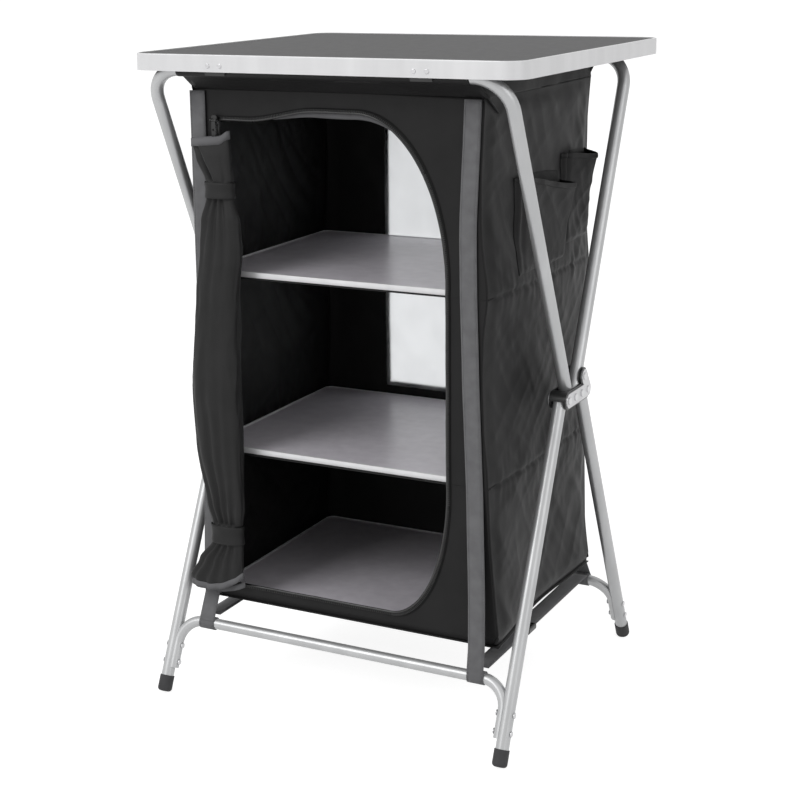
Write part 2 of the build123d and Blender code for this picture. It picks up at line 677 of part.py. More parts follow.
def roll_plane(share):
    """Level plane at a share of the opening's height, its own y pointing to the front."""
    z = DOOR_BOTTOM_Z + share * (DOOR_LEFT_TOP_Z - DOOR_BOTTOM_Z)
    return Plane(origin=(0, 0, z), x_dir=(1, 0, 0), z_dir=(0, 0, -1))


with BuildPart() as rolled_door:
    for share, *section in ROLL_SECTIONS:
        with BuildSketch(roll_plane(share)):
            roll_section(*section)
    loft(ruled=True)
keep("rolled_door", rolled_door.part)

with BuildPart() as door_ties:
    for low, high in TIE_SECTIONS:
        bottom, top = roll_plane(ROLL_SECTIONS[low][0]), roll_plane(ROLL_SECTIONS[high][0])
        with BuildSketch(top):
            roll_section(*ROLL_SECTIONS[low][1:], GAP + TIE_T)
            with BuildSketch(mode=Mode.SUBTRACT):
                roll_section(*ROLL_SECTIONS[low][1:], GAP)
        extrude(amount=top.origin.Z - bottom.origin.Z)
    split(bisect_by=front_plane(ROLL_BACK), keep=Keep.TOP)
keep("door_ties", door_ties.part)

# Zip slider and the tab that swings on it
slider_z = DOOR_LEFT_TOP_Z
slider_x = DOOR_LEFT_X - ZIP_W / 2
slider_front = ZIP_FRONT - GAP - SLIDER_SIZE[1]
with BuildPart() as zip_slider:
    with BuildSketch(front_plane(ZIP_FRONT - GAP)):
        with Locations((slider_x, slider_z)):
            RectangleRounded(SLIDER_SIZE[0], SLIDER_SIZE[2], SLIDER_SIZE[0] / 3)
    extrude(amount=SLIDER_SIZE[1])
    pull_z = slider_z
    pull_y = slider_front - PULL_BAR_D
    for way in (-1, 1):
        with BuildSketch(side_plane(slider_x + way * PULL_W / 2, pull_y, pull_z)):
            Circle(PULL_EYE_D / 2)
            with Locations((PULL_BAR_D, 0)):
                Rectangle(2 * PULL_BAR_D, PULL_EYE_D)
        extrude(amount=way * PULL_T)
    with BuildSketch(side_plane(slider_x, pull_y, pull_z)):
        Circle(PULL_BAR_D / 2)
    extrude(amount=PULL_W / 2, both=True)
keep("zip_slider", zip_slider.part)

with BuildPart() as zip_pull:
    with BuildSketch(side_plane(slider_x, pull_y, pull_z)):
        Circle(PULL_BAR_D / 2 + RUNNING_FIT + PULL_T / 2)
        Circle(PULL_BAR_D / 2 + RUNNING_FIT, mode=Mode.SUBTRACT)
    extrude(amount=PULL_W / 2 - GAP, both=True)
    with BuildSketch(front_plane(pull_y + PULL_T / 2)):
        with Locations((slider_x, pull_z - PULL_BAR_D / 2 - PULL_T / 2 - PULL_LENGTH / 2)):
            Rectangle(PULL_W - 2 * GAP, PULL_LENGTH)
            Circle(PULL_W / 4, mode=Mode.SUBTRACT)
    extrude(amount=PULL_T)
keep("zip_pull", zip_pull.part)


# Webbing: one strap up each corner, looped round the bottom rail, and one
# along each side under the cupboard
def strap_loop(pivot_y, lean_y, side):
    """The loop follows the rail round the start of its bend."""
    plane = tube_plane(pivot_y, lean_y)
    sleeve = bent_tube(plane, RAIL_X, RAIL_END - LEG_LENGTH, RAIL_S, BOTTOM_BEND_R, LOOP_OUT, LOOP_IN)
    with BuildPart() as loop:
        add(sleeve)
        with BuildSketch(side_plane(side * STRAP_X)):
            Rectangle(4 * HINGE_Z, 4 * HINGE_Z)
        extrude(amount=STRAP_W / 2, both=True, mode=Mode.INTERSECT)
    return loop.part


def corner_strap(end_way, side):
    """end_way is -1 at the front and 1 at the back."""
    pivot_y, lean_y = (LOWER_FRONT, 1) if end_way < 0 else (LOWER_REAR, -1)
    hang_y = -end_way * (STRAP_BACK - STRAP_T / 2)
    rail_y = end_way * BOTTOM_RAIL_Y
    with BuildPart() as strap:
        add(strap_loop(pivot_y, lean_y, side))
        with BuildSketch(side_plane(side * STRAP_X - STRAP_W / 2, 0, 0)):
            with BuildLine():
                path = Polyline((hang_y, CABINET_TOP_Z), (hang_y, CABINET_BOTTOM_Z),
                                (rail_y - end_way * LOOP_MID * COS,
                                 BOTTOM_RAIL_Z + LOOP_MID * SIN))
            trace(path, STRAP_T)
        extrude(amount=STRAP_W)
    return strap.part


for side_name, side in SIDES.items():
    keep(f"strap_front_{side_name}", corner_strap(-1, side))
    keep(f"strap_rear_{side_name}", corner_strap(1, side))

strap_z = BOTTOM_RAIL_Z + LOOP_OUT + GAP
loop_y, loop_z = BOTTOM_RAIL_Y - LOOP_MID * COS, BOTTOM_RAIL_Z + LOOP_MID * SIN
share = (strap_z + STRAP_T - loop_z) / (CABINET_BOTTOM_Z - loop_z)
strap_reach = loop_y + share * (STRAP_T / 2 - STRAP_BACK - loop_y) - STRAP_T - GAP
for side_name, side in SIDES.items():
    x = side * STRAP_X
    with BuildPart() as side_strap:
        with BuildSketch(Plane((x, 0, strap_z))):
            Rectangle(STRAP_W, 2 * strap_reach)
        extrude(amount=STRAP_T)
        tail_back = BUCKLE_Y - BUCKLE_LENGTH / 2
        with BuildSketch(Plane((x, tail_back - TAIL_LENGTH / 2 + BUCKLE_LENGTH, strap_z - STRAP_T))):
            Rectangle(STRAP_W, TAIL_LENGTH)
        extrude(amount=STRAP_T)
    keep(f"side_strap_{side_name}", side_strap.part)

    with BuildPart() as buckle:
        outer_h = 2 * STRAP_T + 2 * GAP + 2 * BUCKLE_WALL
        inner_h = 2 * STRAP_T + 2 * GAP
        with BuildSketch(Plane(origin=(x, BUCKLE_Y - BUCKLE_LENGTH / 2, strap_z),
                               x_dir=(1, 0, 0), z_dir=(0, 1, 0))):
            RectangleRounded(STRAP_W + 2 * GAP + 2 * BUCKLE_WALL, outer_h, BUCKLE_WALL)
            Rectangle(STRAP_W + 2 * GAP, inner_h, mode=Mode.SUBTRACT)
        extrude(amount=BUCKLE_LENGTH)
        pitch = BUCKLE_LENGTH / BUCKLE_BARS
        with BuildSketch(Plane((x, BUCKLE_Y, strap_z))):
            with GridLocations(0, pitch, 1, BUCKLE_BARS):
                Rectangle(STRAP_W, pitch - BUCKLE_BAR_W)
        extrude(amount=outer_h, both=True, mode=Mode.SUBTRACT)
    keep(f"strap_buckle_{side_name}", buckle.part)


# Origin: middle of the whole cupboard's footprint, on the floor
boxes = [piece.bounding_box() for piece in pieces.values()]
mid_y = (min(b.min.Y for b in boxes) + max(b.max.Y for b in boxes)) / 2
print("hinge middle stands at y =", round(-mid_y, 4))
for name, piece in pieces.items():
    moved = piece.moved(Location((0, -mid_y, 0)))
    moved.label = name
    export_step(moved, f"parts/{name}.step")
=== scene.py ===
import json
import math

import bpy
from mathutils import Matrix, Vector, noise


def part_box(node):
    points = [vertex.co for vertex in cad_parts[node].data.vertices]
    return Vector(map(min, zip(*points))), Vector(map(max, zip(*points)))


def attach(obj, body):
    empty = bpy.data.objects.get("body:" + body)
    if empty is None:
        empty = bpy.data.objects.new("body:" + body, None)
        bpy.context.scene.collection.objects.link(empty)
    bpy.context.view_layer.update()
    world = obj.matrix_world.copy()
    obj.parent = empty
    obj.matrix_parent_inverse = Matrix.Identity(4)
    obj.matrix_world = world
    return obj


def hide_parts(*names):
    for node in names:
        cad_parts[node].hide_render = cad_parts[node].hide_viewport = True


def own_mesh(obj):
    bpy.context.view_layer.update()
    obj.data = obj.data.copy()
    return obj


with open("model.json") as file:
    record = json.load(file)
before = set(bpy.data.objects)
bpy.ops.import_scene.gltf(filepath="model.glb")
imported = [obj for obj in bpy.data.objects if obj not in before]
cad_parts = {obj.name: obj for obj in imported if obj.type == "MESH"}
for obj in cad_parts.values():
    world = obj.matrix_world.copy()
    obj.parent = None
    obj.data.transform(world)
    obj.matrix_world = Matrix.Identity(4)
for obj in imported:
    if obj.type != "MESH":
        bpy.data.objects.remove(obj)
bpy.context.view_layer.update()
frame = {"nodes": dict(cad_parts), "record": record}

# Folding camping cupboard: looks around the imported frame. Metres, Z up, door on -Y.

# Sizes read from the frame
MM = 0.001
front_low, front_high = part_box("front_panel")
FRONT_Y, BACK_Y = front_low.y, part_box("back_panel")[1].y
BOTTOM_Z, TOP_Z = front_low.z, front_high.z
WALL_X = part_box("side_panel_right")[1].x
CLOTH_T = front_high.y - front_low.y
ROLL_BACK_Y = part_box("rolled_door")[1].y
TUBE_R = 9.5 * MM
RAIL_R = 8 * MM
TOP_RAIL_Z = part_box("upper_front_tube")[1].z - TUBE_R
TOP_RAIL_Y = {"front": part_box("upper_front_tube")[0].y + TUBE_R,
              "back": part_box("upper_rear_tube")[1].y - TUBE_R}
LOW_RAIL_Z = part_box("front_bottom_rail")[1].z - RAIL_R
LOW_RAIL_Y = {"front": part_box("front_bottom_rail")[1].y - RAIL_R,
              "back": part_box("rear_bottom_rail")[0].y + RAIL_R}
SHELF_Z = {name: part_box(f"shelf_rim_{name}")[0].z for name in ("upper", "middle", "lower")}
WAY = {"front": -1, "back": 1}
WALL_Y = {"front": FRONT_Y, "back": BACK_Y}
FRAME_END = {"front": "front", "back": "rear"}
SIDES = {"left": -1, "right": 1}

# Cloth shape: in at the waist between two sewn levels, out at a side wall's middle,
# in along a seam, and the depth of a wall's creases
WAIST = 7 * MM
BULGE = 5 * MM
SEAM_DIP = 2.2 * MM
CREASE_DEPTH = {"front": 1.4 * MM, "side": 4.6 * MM, "back": 3 * MM}
# How far from its edge a wall's creases fade, and how far its foot draws in, over what height
EDGE_REACH = 30 * MM
FRONT_TUCK = (4 * MM, 14 * MM)
SIDE_TUCK = (5 * MM, 16 * MM)
FOOT_REACH = 50 * MM
# Corners drawn out by their straps below PULL_TOP: outward, lift and length of the round foot
PULL_TOP = 372 * MM
CORNERS = {
    ("front", "left"): (8 * MM, 16 * MM, 45 * MM),
    ("front", "right"): (14.5 * MM, 6 * MM, 22 * MM),
    ("back", "left"): (8 * MM, 1.5 * MM, 20 * MM),
    ("back", "right"): (8 * MM, 1.5 * MM, 20 * MM),
}
# Half width of the front right corner at its heights: out at the shelves, in between them
FRONT_RIGHT = [(0.905, 0.224), (0.870, 0.222), (0.800, 0.2185), (0.731, 0.2185), (0.690, 0.222),
               (0.652, 0.2285), (0.632, 0.2285), (0.590, 0.222), (0.525, 0.220), (0.440, 0.223),
               (0.392, 0.2285), (0.370, 0.229), (0.300, 0.232), (0.217, 0.239), (0.142, 0.246)]
SHEET_T = 1.0 * MM

# Door opening, seen from the front
DOOR_LEFT, DOOR_RIGHT = -189 * MM, 167 * MM
DOOR_TOP, DOOR_LEFT_TOP, DOOR_BOTTOM = 880 * MM, 864 * MM, 168 * MM
TOP_BEND = (138 * MM, 230 * MM)
FOOT_BEND = (90 * MM, 190 * MM)
ZIP_W = 6 * MM
ZIP_TAPE_T = 0.8 * MM
TOOTH_PITCH = 2.6 * MM
# Half length, half width and height of a tooth
TOOTH = (0.8 * MM, 1.7 * MM, 0.9 * MM)
# Points on the opening's edge, and those under the arch
LOOP_COUNTS = {"left": 70, "rise": 30, "bend": 40, "right": 40, "foot": 36, "bottom": 44}
UNDER_ARCH = slice(81, 114)
BINDING_HANG = 10 * MM
BINDING_T = 1.2 * MM

# Straps
STRAP_W = 25 * MM
STRAP_T = 1.4 * MM

# Photograph's camera
CAMERA_AT = (1.12247, -2.26093, 1.11006)
CAMERA_YAW, CAMERA_PITCH, CAMERA_ROLL = 0.4873, 0.1998, -0.0139
CAMERA_LENS = 76.55
CAMERA_SHIFT = (0.048, -0.1425)
SENSOR_W = 36
CLIP_FAR = 100

# Stage, with lamps by place, size and power
FLOOR_HALF = 30
FLOOR_GLOW = 0.84
WORLD_LEVEL = 0.55
LAMP_AIM = (0, 0, 0.5)
LAMPS = {"key": ((-1.6, -3.2, 2.9), 2.2, 70), "fill": ((3.2, -1.2, 1.8), 2.0, 18)}


# Mesh helpers
def mesh_object(name, points, faces, smooth=True):
    mesh = bpy.data.meshes.new(name)
    mesh.from_pydata([tuple(p) for p in points], [], faces)
    mesh.update()
    mesh.polygons.foreach_set("use_smooth", [smooth] * len(mesh.polygons))
    piece = bpy.data.objects.new(name, mesh)
    bpy.context.scene.collection.objects.link(piece)
    return piece


def surface(name, rows, columns, point, wrap=False):
    """A grid of point(u, v) with u and v from 0 to 1; wrap joins its last column to its first."""
    across = columns if wrap else columns + 1
    points = [point(j / columns, i / rows) for i in range(rows + 1) for j in range(across)]
    faces = []
    for i in range(rows):
        for j in range(columns):
            a, b = i * across + j, i * across + (j + 1) % across
            faces.append((a, b, b + across, a + across))
    return mesh_object(name, points, faces)


def thicken(piece, thickness, offset=0.0):
    solid = piece.modifiers.new("thickness", "SOLIDIFY")
    solid.thickness = thickness
    solid.offset = offset
    solid.use_even_offset = False
    return piece


def along(points, closed=False):
    """Unit directions of a line at each of its points."""
    count = len(points)
    ways = []
    for i in range(count):
        before = points[i - 1] if closed or i else points[0]
        after = points[(i + 1) % count] if closed or i + 1 < count else points[-1]
        ways.append((after - before).normalized())
    return ways


def ribbon(name, points, side_ways, width, thickness, across=4):
    """A flat strap along points; side_ways are the directions of its width."""
    def at(u, v):
        i = min(round(v * (len(points) - 1)), len(points) - 1)
        return points[i] + side_ways[i] * ((u - 0.5) * width)
    strap = surface(name, len(points) - 1, across, at)
    return thicken(strap, thickness)


def piping(name, points, radius, sides=8, closed=False, flat=1.0, normal=Vector((0, -1, 0))):
    """A round or flattened bead along a line that lies about square to normal."""
    ways = along(points, closed)
    verts, faces = [], []
    for point, way in zip(points, ways):
        side = way.cross(normal).normalized()
        up = side.cross(way)
        for k in range(sides):
            angle = 2 * math.pi * k / sides
            out = side * (radius * math.cos(angle))
            verts.append(point + out + up * (radius * flat * math.sin(angle)))
    rings = len(points) if closed else len(points) - 1
    for i in range(rings):
        j = (i + 1) % len(points)
        for k in range(sides):
            m = (k + 1) % sides
            faces.append((i * sides + k, i * sides + m, j * sides + m, j * sides + k))
    if not closed:
        last = (len(points) - 1) * sides
        faces.append(tuple(range(sides - 1, -1, -1)))
        faces.append(tuple(last + k for k in range(sides)))
    return mesh_object(name, verts, faces)


BLOCK_FACES = ((3, 2, 1, 0), (4, 5, 6, 7), (0, 1, 5, 4), (1, 2, 6, 5), (2, 3, 7, 6), (3, 0, 4, 7))
BLOCK_CORNERS = ((-1, -1), (1, -1), (1, 1), (-1, 1))


def tapered_blocks(name, places, foot, head):
    """Small blocks in one mesh, each placed by its middle and the directions of its length,
    width and height; foot and head are the shares of the three at its two ends."""
    verts, faces = [], []
    for middle, length, width, height in places:
        first = len(verts)
        for a, b, c in (foot, head):
            for i, j in BLOCK_CORNERS:
                verts.append(middle + length * (i * a) + width * (j * b) + height * c)
        faces += [tuple(first + q for q in quad) for quad in BLOCK_FACES]
    return mesh_object(name, verts, faces, smooth=False)


def smooth_step(t):
    t = min(max(t, 0.0), 1.0)
    return t * t * (3 - 2 * t)


def resample(points, step):
    """The same line with points about step apart."""
    out = [points[0]]
    for a, b in zip(points, points[1:]):
        count = max(1, round((b - a).length / step))
        out += [a.lerp(b, (i + 1) / count) for i in range(count)]
    return out


def rounded(points, step, passes):
    """The line through points, resampled and softened at its corners."""
    line = resample(points, step)
    for _ in range(passes):
        middle = [(a + b * 2 + c) / 4 for a, b, c in zip(line, line[1:], line[2:])]
        line = [line[0]] + middle + [line[-1]]
    return line


# Materials
def material(name):
    made = bpy.data.materials.new(name)
    made.use_nodes = True
    tree = made.node_tree
    return made, tree.nodes, tree.links, tree.nodes["Principled BSDF"]


def shape_coordinates(nodes, links, scale):
    where = nodes.new("ShaderNodeTexCoord")
    mapping = nodes.new("ShaderNodeMapping")
    mapping.inputs["Scale"].default_value = scale
    links.new(where.outputs["Object"], mapping.inputs["Vector"])
    return mapping.outputs["Vector"]


def noise_value(nodes, links, scale, detail=3.0, stretch=(1, 1, 1)):
    texture = nodes.new("ShaderNodeTexNoise")
    texture.inputs["Scale"].default_value = scale
    texture.inputs["Detail"].default_value = detail
    links.new(shape_coordinates(nodes, links, stretch), texture.inputs["Vector"])
    return texture.outputs["Fac"]


def wave_value(nodes, links, direction, scale, distortion=0.0):
    texture = nodes.new("ShaderNodeTexWave")
    texture.bands_direction = direction
    texture.inputs["Scale"].default_value = scale
    texture.inputs["Distortion"].default_value = distortion
    links.new(shape_coordinates(nodes, links, (1, 1, 1)), texture.inputs["Vector"])
    return texture.outputs["Fac"]


def maths(nodes, links, operation, a, b):
    node = nodes.new("ShaderNodeMath")
    node.operation = operation
    for socket, value in zip(node.inputs, (a, b)):
        if isinstance(value, (int, float)):
            socket.default_value = value
        else:
            links.new(value, socket)
    return node.outputs[0]


TONE_ENDS = (0.3, 0.7)


def paint(nodes, links, shader, value, dark, pale):
    """Base colour between two tones, as value goes from its low end to its high one."""
    ramp = nodes.new("ShaderNodeValToRGB")
    for stop, position, colour in zip(ramp.color_ramp.elements, TONE_ENDS, (dark, pale)):
        stop.position = position
        stop.color = (*colour, 1)
    links.new(value, ramp.inputs["Fac"])
    links.new(ramp.outputs["Color"], shader.inputs["Base Color"])
    return ramp.outputs["Color"]


def range_value(nodes, links, value, low, high):
    node = nodes.new("ShaderNodeMapRange")
    node.inputs["To Min"].default_value = low
    node.inputs["To Max"].default_value = high
    links.new(value, node.inputs["Value"])
    return node.outputs["Result"]


def vary_gloss(nodes, links, shader, scale, detail, low, high):
    spread = noise_value(nodes, links, scale, detail)
    links.new(range_value(nodes, links, spread, low, high), shader.inputs["Roughness"])


def add_bump(nodes, links, shader, height, strength, distance, below=None):
    bump = nodes.new("ShaderNodeBump")
    bump.inputs["Strength"].default_value = strength
    bump.inputs["Distance"].default_value = distance
    links.new(height, bump.inputs["Height"])
    if below is not None:
        links.new(below, bump.inputs["Normal"])
    links.new(bump.outputs["Normal"], shader.inputs["Normal"])
    return bump.outputs["Normal"]


def cloth_material(name, dark, pale, weave=900.0, roughness=0.55, sheen=0.03):
    """Plain-woven polyester: fine crossed threads and slow changes of tone."""
    made, nodes, links, shader = material(name)
    paint(nodes, links, shader, noise_value(nodes, links, scale=14.0, detail=4.0), dark, pale)
    warp = wave_value(nodes, links, "DIAGONAL", weave, distortion=0.6)
    weft = wave_value(nodes, links, "Z", weave, distortion=0.6)
    threads = maths(nodes, links, "MULTIPLY", warp, weft)
    creases = noise_value(nodes, links, scale=26.0, detail=5.0, stretch=(1.0, 1.0, 0.35))
    soft = add_bump(nodes, links, shader, creases, strength=0.4, distance=2.2 * MM)
    add_bump(nodes, links, shader, threads, strength=0.18, distance=0.12 * MM, below=soft)
    vary_gloss(nodes, links, shader, 40.0, 2.0, roughness - 0.06, roughness + 0.08)
    shader.inputs["Sheen Weight"].default_value = sheen
    shader.inputs["Sheen Roughness"].default_value = 0.4
    shader.inputs["Specular IOR Level"].default_value = 0.22
    return made


def webbing_material():
    """Grey strap woven in ribs and rows."""
    made, nodes, links, shader = material("webbing_weave")
    tone = noise_value(nodes, links, scale=60.0)
    paint(nodes, links, shader, tone, (0.115, 0.115, 0.12), (0.15, 0.15, 0.156))
    ribs = wave_value(nodes, links, "Z", 420.0, distortion=0.3)
    rows = wave_value(nodes, links, "X", 300.0, distortion=0.3)
    height = maths(nodes, links, "MULTIPLY", ribs, rows)
    add_bump(nodes, links, shader, height, strength=0.35, distance=0.25 * MM)
    shader.inputs["Roughness"].default_value = 0.75
    shader.inputs["Sheen Weight"].default_value = 0.2
    return made


def metal_material(name, dark, pale, metallic, roughness, grain=(1.0, 1.0, 0.08)):
    """Satin coated metal with a faint drawn grain and small changes of gloss."""
    made, nodes, links, shader = material(name)
    paint(nodes, links, shader, noise_value(nodes, links, scale=30.0, stretch=grain), dark, pale)
    vary_gloss(nodes, links, shader, 90.0, 3.0, roughness - 0.05, roughness + 0.07)
    fine = noise_value(nodes, links, scale=700.0, detail=2.0, stretch=grain)
    add_bump(nodes, links, shader, fine, strength=0.12, distance=0.08 * MM)
    shader.inputs["Metallic"].default_value = metallic
    return made


def plastic_material(name, dark, pale, roughness, grain=900.0, bump=0.2, shine=0.5):
    """Moulded plastic, rubber or laminate with a fine even grain."""
    made, nodes, links, shader = material(name)
    paint(nodes, links, shader, noise_value(nodes, links, scale=50.0, detail=2.0), dark, pale)
    vary_gloss(nodes, links, shader, 120.0, 2.0, roughness - 0.04, roughness + 0.06)
    pits = noise_value(nodes, links, grain, detail=2.0)
    add_bump(nodes, links, shader, pits, bump, distance=0.1 * MM)
    shader.inputs["Specular IOR Level"].default_value = shine
    return made


def film_material():
    """Frosted window film: lets light through and shows slow ripples."""
    made, nodes, links, shader = material("window_film")
    tone = noise_value(nodes, links, scale=9.0)
    colour = paint(nodes, links, shader, tone, (0.86, 0.87, 0.88), (0.94, 0.95, 0.96))
    shader.inputs["Alpha"].default_value = 0.35
    ripples = noise_value(nodes, links, scale=18.0)
    add_bump(nodes, links, shader, ripples, strength=0.3, distance=1.0 * MM)
    shader.inputs["Roughness"].default_value = 0.45
    glow = nodes.new("ShaderNodeBsdfTranslucent")
    links.new(colour, glow.inputs["Color"])
    mix = nodes.new("ShaderNodeMixShader")
    mix.inputs["Fac"].default_value = 0.7
    links.new(shader.outputs["BSDF"], mix.inputs[1])
    links.new(glow.outputs["BSDF"], mix.inputs[2])
    links.new(mix.outputs["Shader"], nodes["Material Output"].inputs["Surface"])
    return made


def grey(level):
    return (level, level, level)


BLACK_CLOTH = cloth_material("black_polyester", (0.0045, 0.0043, 0.0045), (0.0080, 0.0077, 0.0080))
DOOR_CLOTH = cloth_material("door_polyester", grey(0.0105), (0.017, 0.0168, 0.017))
GREY_BINDING = cloth_material("grey_binding", (0.12, 0.12, 0.125), (0.16, 0.16, 0.166),
                              weave=1200.0, roughness=0.7)
WEBBING = webbing_material()
FILM = film_material()
# Near-black zip tape cloth; the same material is the painted shade inside the pockets
ZIP_TAPE_AND_SHADE = cloth_material("zip_tape", grey(0.0025), grey(0.005), weave=1500.0, roughness=0.7)
ZIP_TEETH = plastic_material("zip_teeth", grey(0.012), grey(0.02), 0.28)
THREAD = plastic_material("stitch_thread", (0.10, 0.10, 0.105), (0.2, 0.2, 0.205), 0.6)
# Name, dark tone, pale tone, metallic, roughness
METALS = {
    "frame_tube": ("silver_tube", (0.47, 0.475, 0.48), (0.54, 0.545, 0.55), 0.5, 0.34),
    "hinge_steel": ("hinge_steel", (0.5, 0.5, 0.51), (0.6, 0.6, 0.61), 0.7, 0.32),
    "rivet_steel": ("rivet_steel", (0.55, 0.55, 0.56), (0.68, 0.68, 0.69), 0.75, 0.3),
    "table_edge": ("table_edge", (0.74, 0.74, 0.75), (0.82, 0.82, 0.83), 0.15, 0.32),
    "zip_metal": ("zip_metal", grey(0.03), grey(0.05), 0.6, 0.3),
    "shelf_edge": ("shelf_edge", (0.78, 0.78, 0.79), (0.86, 0.86, 0.87), 0.25, 0.36),
}
# Name, dark tone, pale tone, roughness
PLASTICS = {
    "hinge_plastic": ("black_saddle", grey(0.012), grey(0.022), 0.35),
    "foot_rubber": ("foot_rubber", (0.028, 0.028, 0.03), (0.045, 0.045, 0.047), 0.7),
    "clip_plastic": ("clip_plastic", grey(0.012), grey(0.02), 0.4),
    "buckle_plastic": ("buckle_plastic", grey(0.012), grey(0.024), 0.3),
}
CAD_LOOKS = {slot: metal_material(*row) for slot, row in METALS.items()}
CAD_LOOKS.update({slot: plastic_material(*row) for slot, row in PLASTICS.items()})
CAD_LOOKS["table_laminate"] = plastic_material(
    "table_laminate", (0.058, 0.058, 0.059), (0.074, 0.074, 0.075), 0.6, shine=0.25)
CAD_LOOKS["shelf_board"] = plastic_material(
    "shelf_laminate", (0.62, 0.59, 0.64), (0.70, 0.67, 0.72), 0.3, 180.0, bump=0.02, shine=0.8)


def dress(piece, look):
    piece.data.materials.clear()
    piece.data.materials.append(look)
    return piece


def settle(piece, look, body, stands_for=None):
    """Gives a piece its look and body, and hides the CAD node that it stands for."""
    dress(piece, look)
    if stands_for:
        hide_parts(stands_for)
    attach(piece, body)


def fold_flat(piece):
    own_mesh(piece)


def dress_cad_nodes():
    slots = {row["node"]: row["material_slot"] for row in frame["record"]["subparts"]}
    for name, node in frame["nodes"].items():
        look = CAD_LOOKS.get(slots[name])
        if look:
            dress(node, look)


# Cloth shape shared by the walls
LEVELS = [BOTTOM_Z, SHELF_Z["middle"], SHELF_Z["upper"], TOP_Z]


def span_share(z):
    """0 at each sewn level, 1 half way between two of them."""
    for low, high in zip(LEVELS, LEVELS[1:]):
        if low <= z <= high:
            return math.sin(math.pi * (z - low) / (high - low))
    return 0.0


def half_width(z):
    return WALL_X - CLOTH_T / 2 - WAIST * span_share(z)


def pull_share(z):
    return min(max((PULL_TOP - z) / (PULL_TOP - BOTTOM_Z), 0.0), 1.0)


def side_of(x):
    return "right" if x > 0 else "left"


def read_table(table, z):
    """Straight between the rows of a table of heights from high to low."""
    for (z1, b), (z0, a) in zip(table, table[1:]):
        if z >= z0:
            return a + (b - a) * min((z - z0) / (z1 - z0), 1.0)
    return table[-1][1]


# Heights in mm over which the table's corners are softened
SOFTENING = (-16, -8, 0, 8, 16)


def corner_gain(end, side_name, z):
    """How much wider than the middle of the wall the cloth is at a corner."""
    if (end, side_name) == ("front", "right"):
        near = [read_table(FRONT_RIGHT, z + d * MM) for d in SOFTENING]
        return sum(near) / len(near) - half_width(z)
    return CORNERS[(end, side_name)][0] * pull_share(z)


def edge_x(end, x, z):
    """Half width of the cloth at a corner, on the side of x."""
    return half_width(z) + corner_gain(end, side_of(x), z)


def foot_lift(end, side_name, distance, z):
    """Rounds the lower corners; distance is along the wall from the corner."""
    lift, length = CORNERS[(end, side_name)][1:]
    near = smooth_step(1 - distance / length) ** 1.5
    return lift * near * smooth_step((BOTTOM_Z + FOOT_REACH - z) / FOOT_REACH)


def ridged(p):
    return 1 - 2 * abs(noise.noise(p))


# Creases of a wall: weight, how fast they change along it, slant, how fast down it, seed
CREASES = [(0.34, 12, 8, 3.4, 0.0), (0.28, 10, -11, 4.6, 7.3), (0.26, 24, 17, 7, 3.1),
           (0.22, 21, -25, 9, 5.7)]
# Gathers at a sewn level: how far they reach, and half the width of the groove at the seam
GATHER_REACH = 26 * MM
GROOVE = 3.5 * MM


def wrinkle(a, z, seed):
    """Creases of light cloth hung from above: long and slanted, with sharper ones between."""
    a += 0.035 * noise.noise(Vector((a * 7, z * 5, seed + 1.7)))
    total = 0.10 * noise.noise(Vector((a * 60 + z * 30, z * 34, seed + 9.4)))
    for weight, across, slant, down, shift in CREASES:
        total += weight * ridged(Vector((a * across + z * slant, z * down, seed + shift)))
    return total


def pucker(a, z, seed):
    """Short gathers on both sides of each sewn level."""
    total = 0.0
    for level in LEVELS[1:-1]:
        fine = 0.7 * noise.noise(Vector((a * 85, z * 20, seed)))
        coarse = 0.5 * ridged(Vector((a * 48, z * 9, seed)))
        total += math.exp(-abs(z - level) / GATHER_REACH) * (fine + coarse)
        total -= 1.3 * math.exp(-((z - level) / GROOVE) ** 2)
    return total


def edge_fade(*distances, reach=EDGE_REACH):
    share = 1.0
    for d in distances:
        share *= smooth_step(d / reach)
    return share


# Front wall
def quarter(centre, radii, start, end, count):
    """Part of an ellipse as (x, z) points, without its last point."""
    angles = [start + (end - start) * i / count for i in range(count)]
    return [(centre[0] + radii[0] * math.cos(angle), centre[1] + radii[1] * math.sin(angle))
            for angle in angles]


def straight(a, b, count):
    return [(a[0] + (b[0] - a[0]) * i / count, a[1] + (b[1] - a[1]) * i / count)
            for i in range(count)]


def door_loop(grow=0.0):
    """The opening's edge from its bottom left corner, clockwise seen from the front."""
    left, right = DOOR_LEFT - grow, DOOR_RIGHT + grow
    top, left_top, bottom = DOOR_TOP + grow, DOOR_LEFT_TOP + grow, DOOR_BOTTOM - grow
    bend = (right - TOP_BEND[0], top - TOP_BEND[1])
    foot = (right - FOOT_BEND[0], bottom + FOOT_BEND[1])
    loop = straight((left, bottom), (left, left_top), LOOP_COUNTS["left"])
    for i in range(LOOP_COUNTS["rise"]):
        t = i / LOOP_COUNTS["rise"]
        rise = smooth_step((t - 0.22) / 0.5)
        loop.append((left + (bend[0] - left) * t, left_top + (top - left_top) * rise))
    loop += quarter(bend, TOP_BEND, math.pi / 2, 0, LOOP_COUNTS["bend"])
    loop += straight((right, bend[1]), (right, foot[1]), LOOP_COUNTS["right"])
    loop += quarter(foot, FOOT_BEND, 0, -math.pi / 2, LOOP_COUNTS["foot"])
    loop += straight((foot[0], bottom), (left, bottom), LOOP_COUNTS["bottom"])
    return loop


def square_loop(points, left, right, low, high, centre):
    """Where lines from centre through each point meet the outline of the wall."""
    out = []
    for x, z in points:
        dx, dz = x - centre[0], z - centre[1]
        reach = []
        if dx:
            reach.append(((right if dx > 0 else left) - centre[0]) / dx)
        if dz:
            reach.append(((high if dz > 0 else low) - centre[1]) / dz)
        t = min(reach)
        out.append((centre[0] + dx * t, centre[1] + dz * t))
    return out


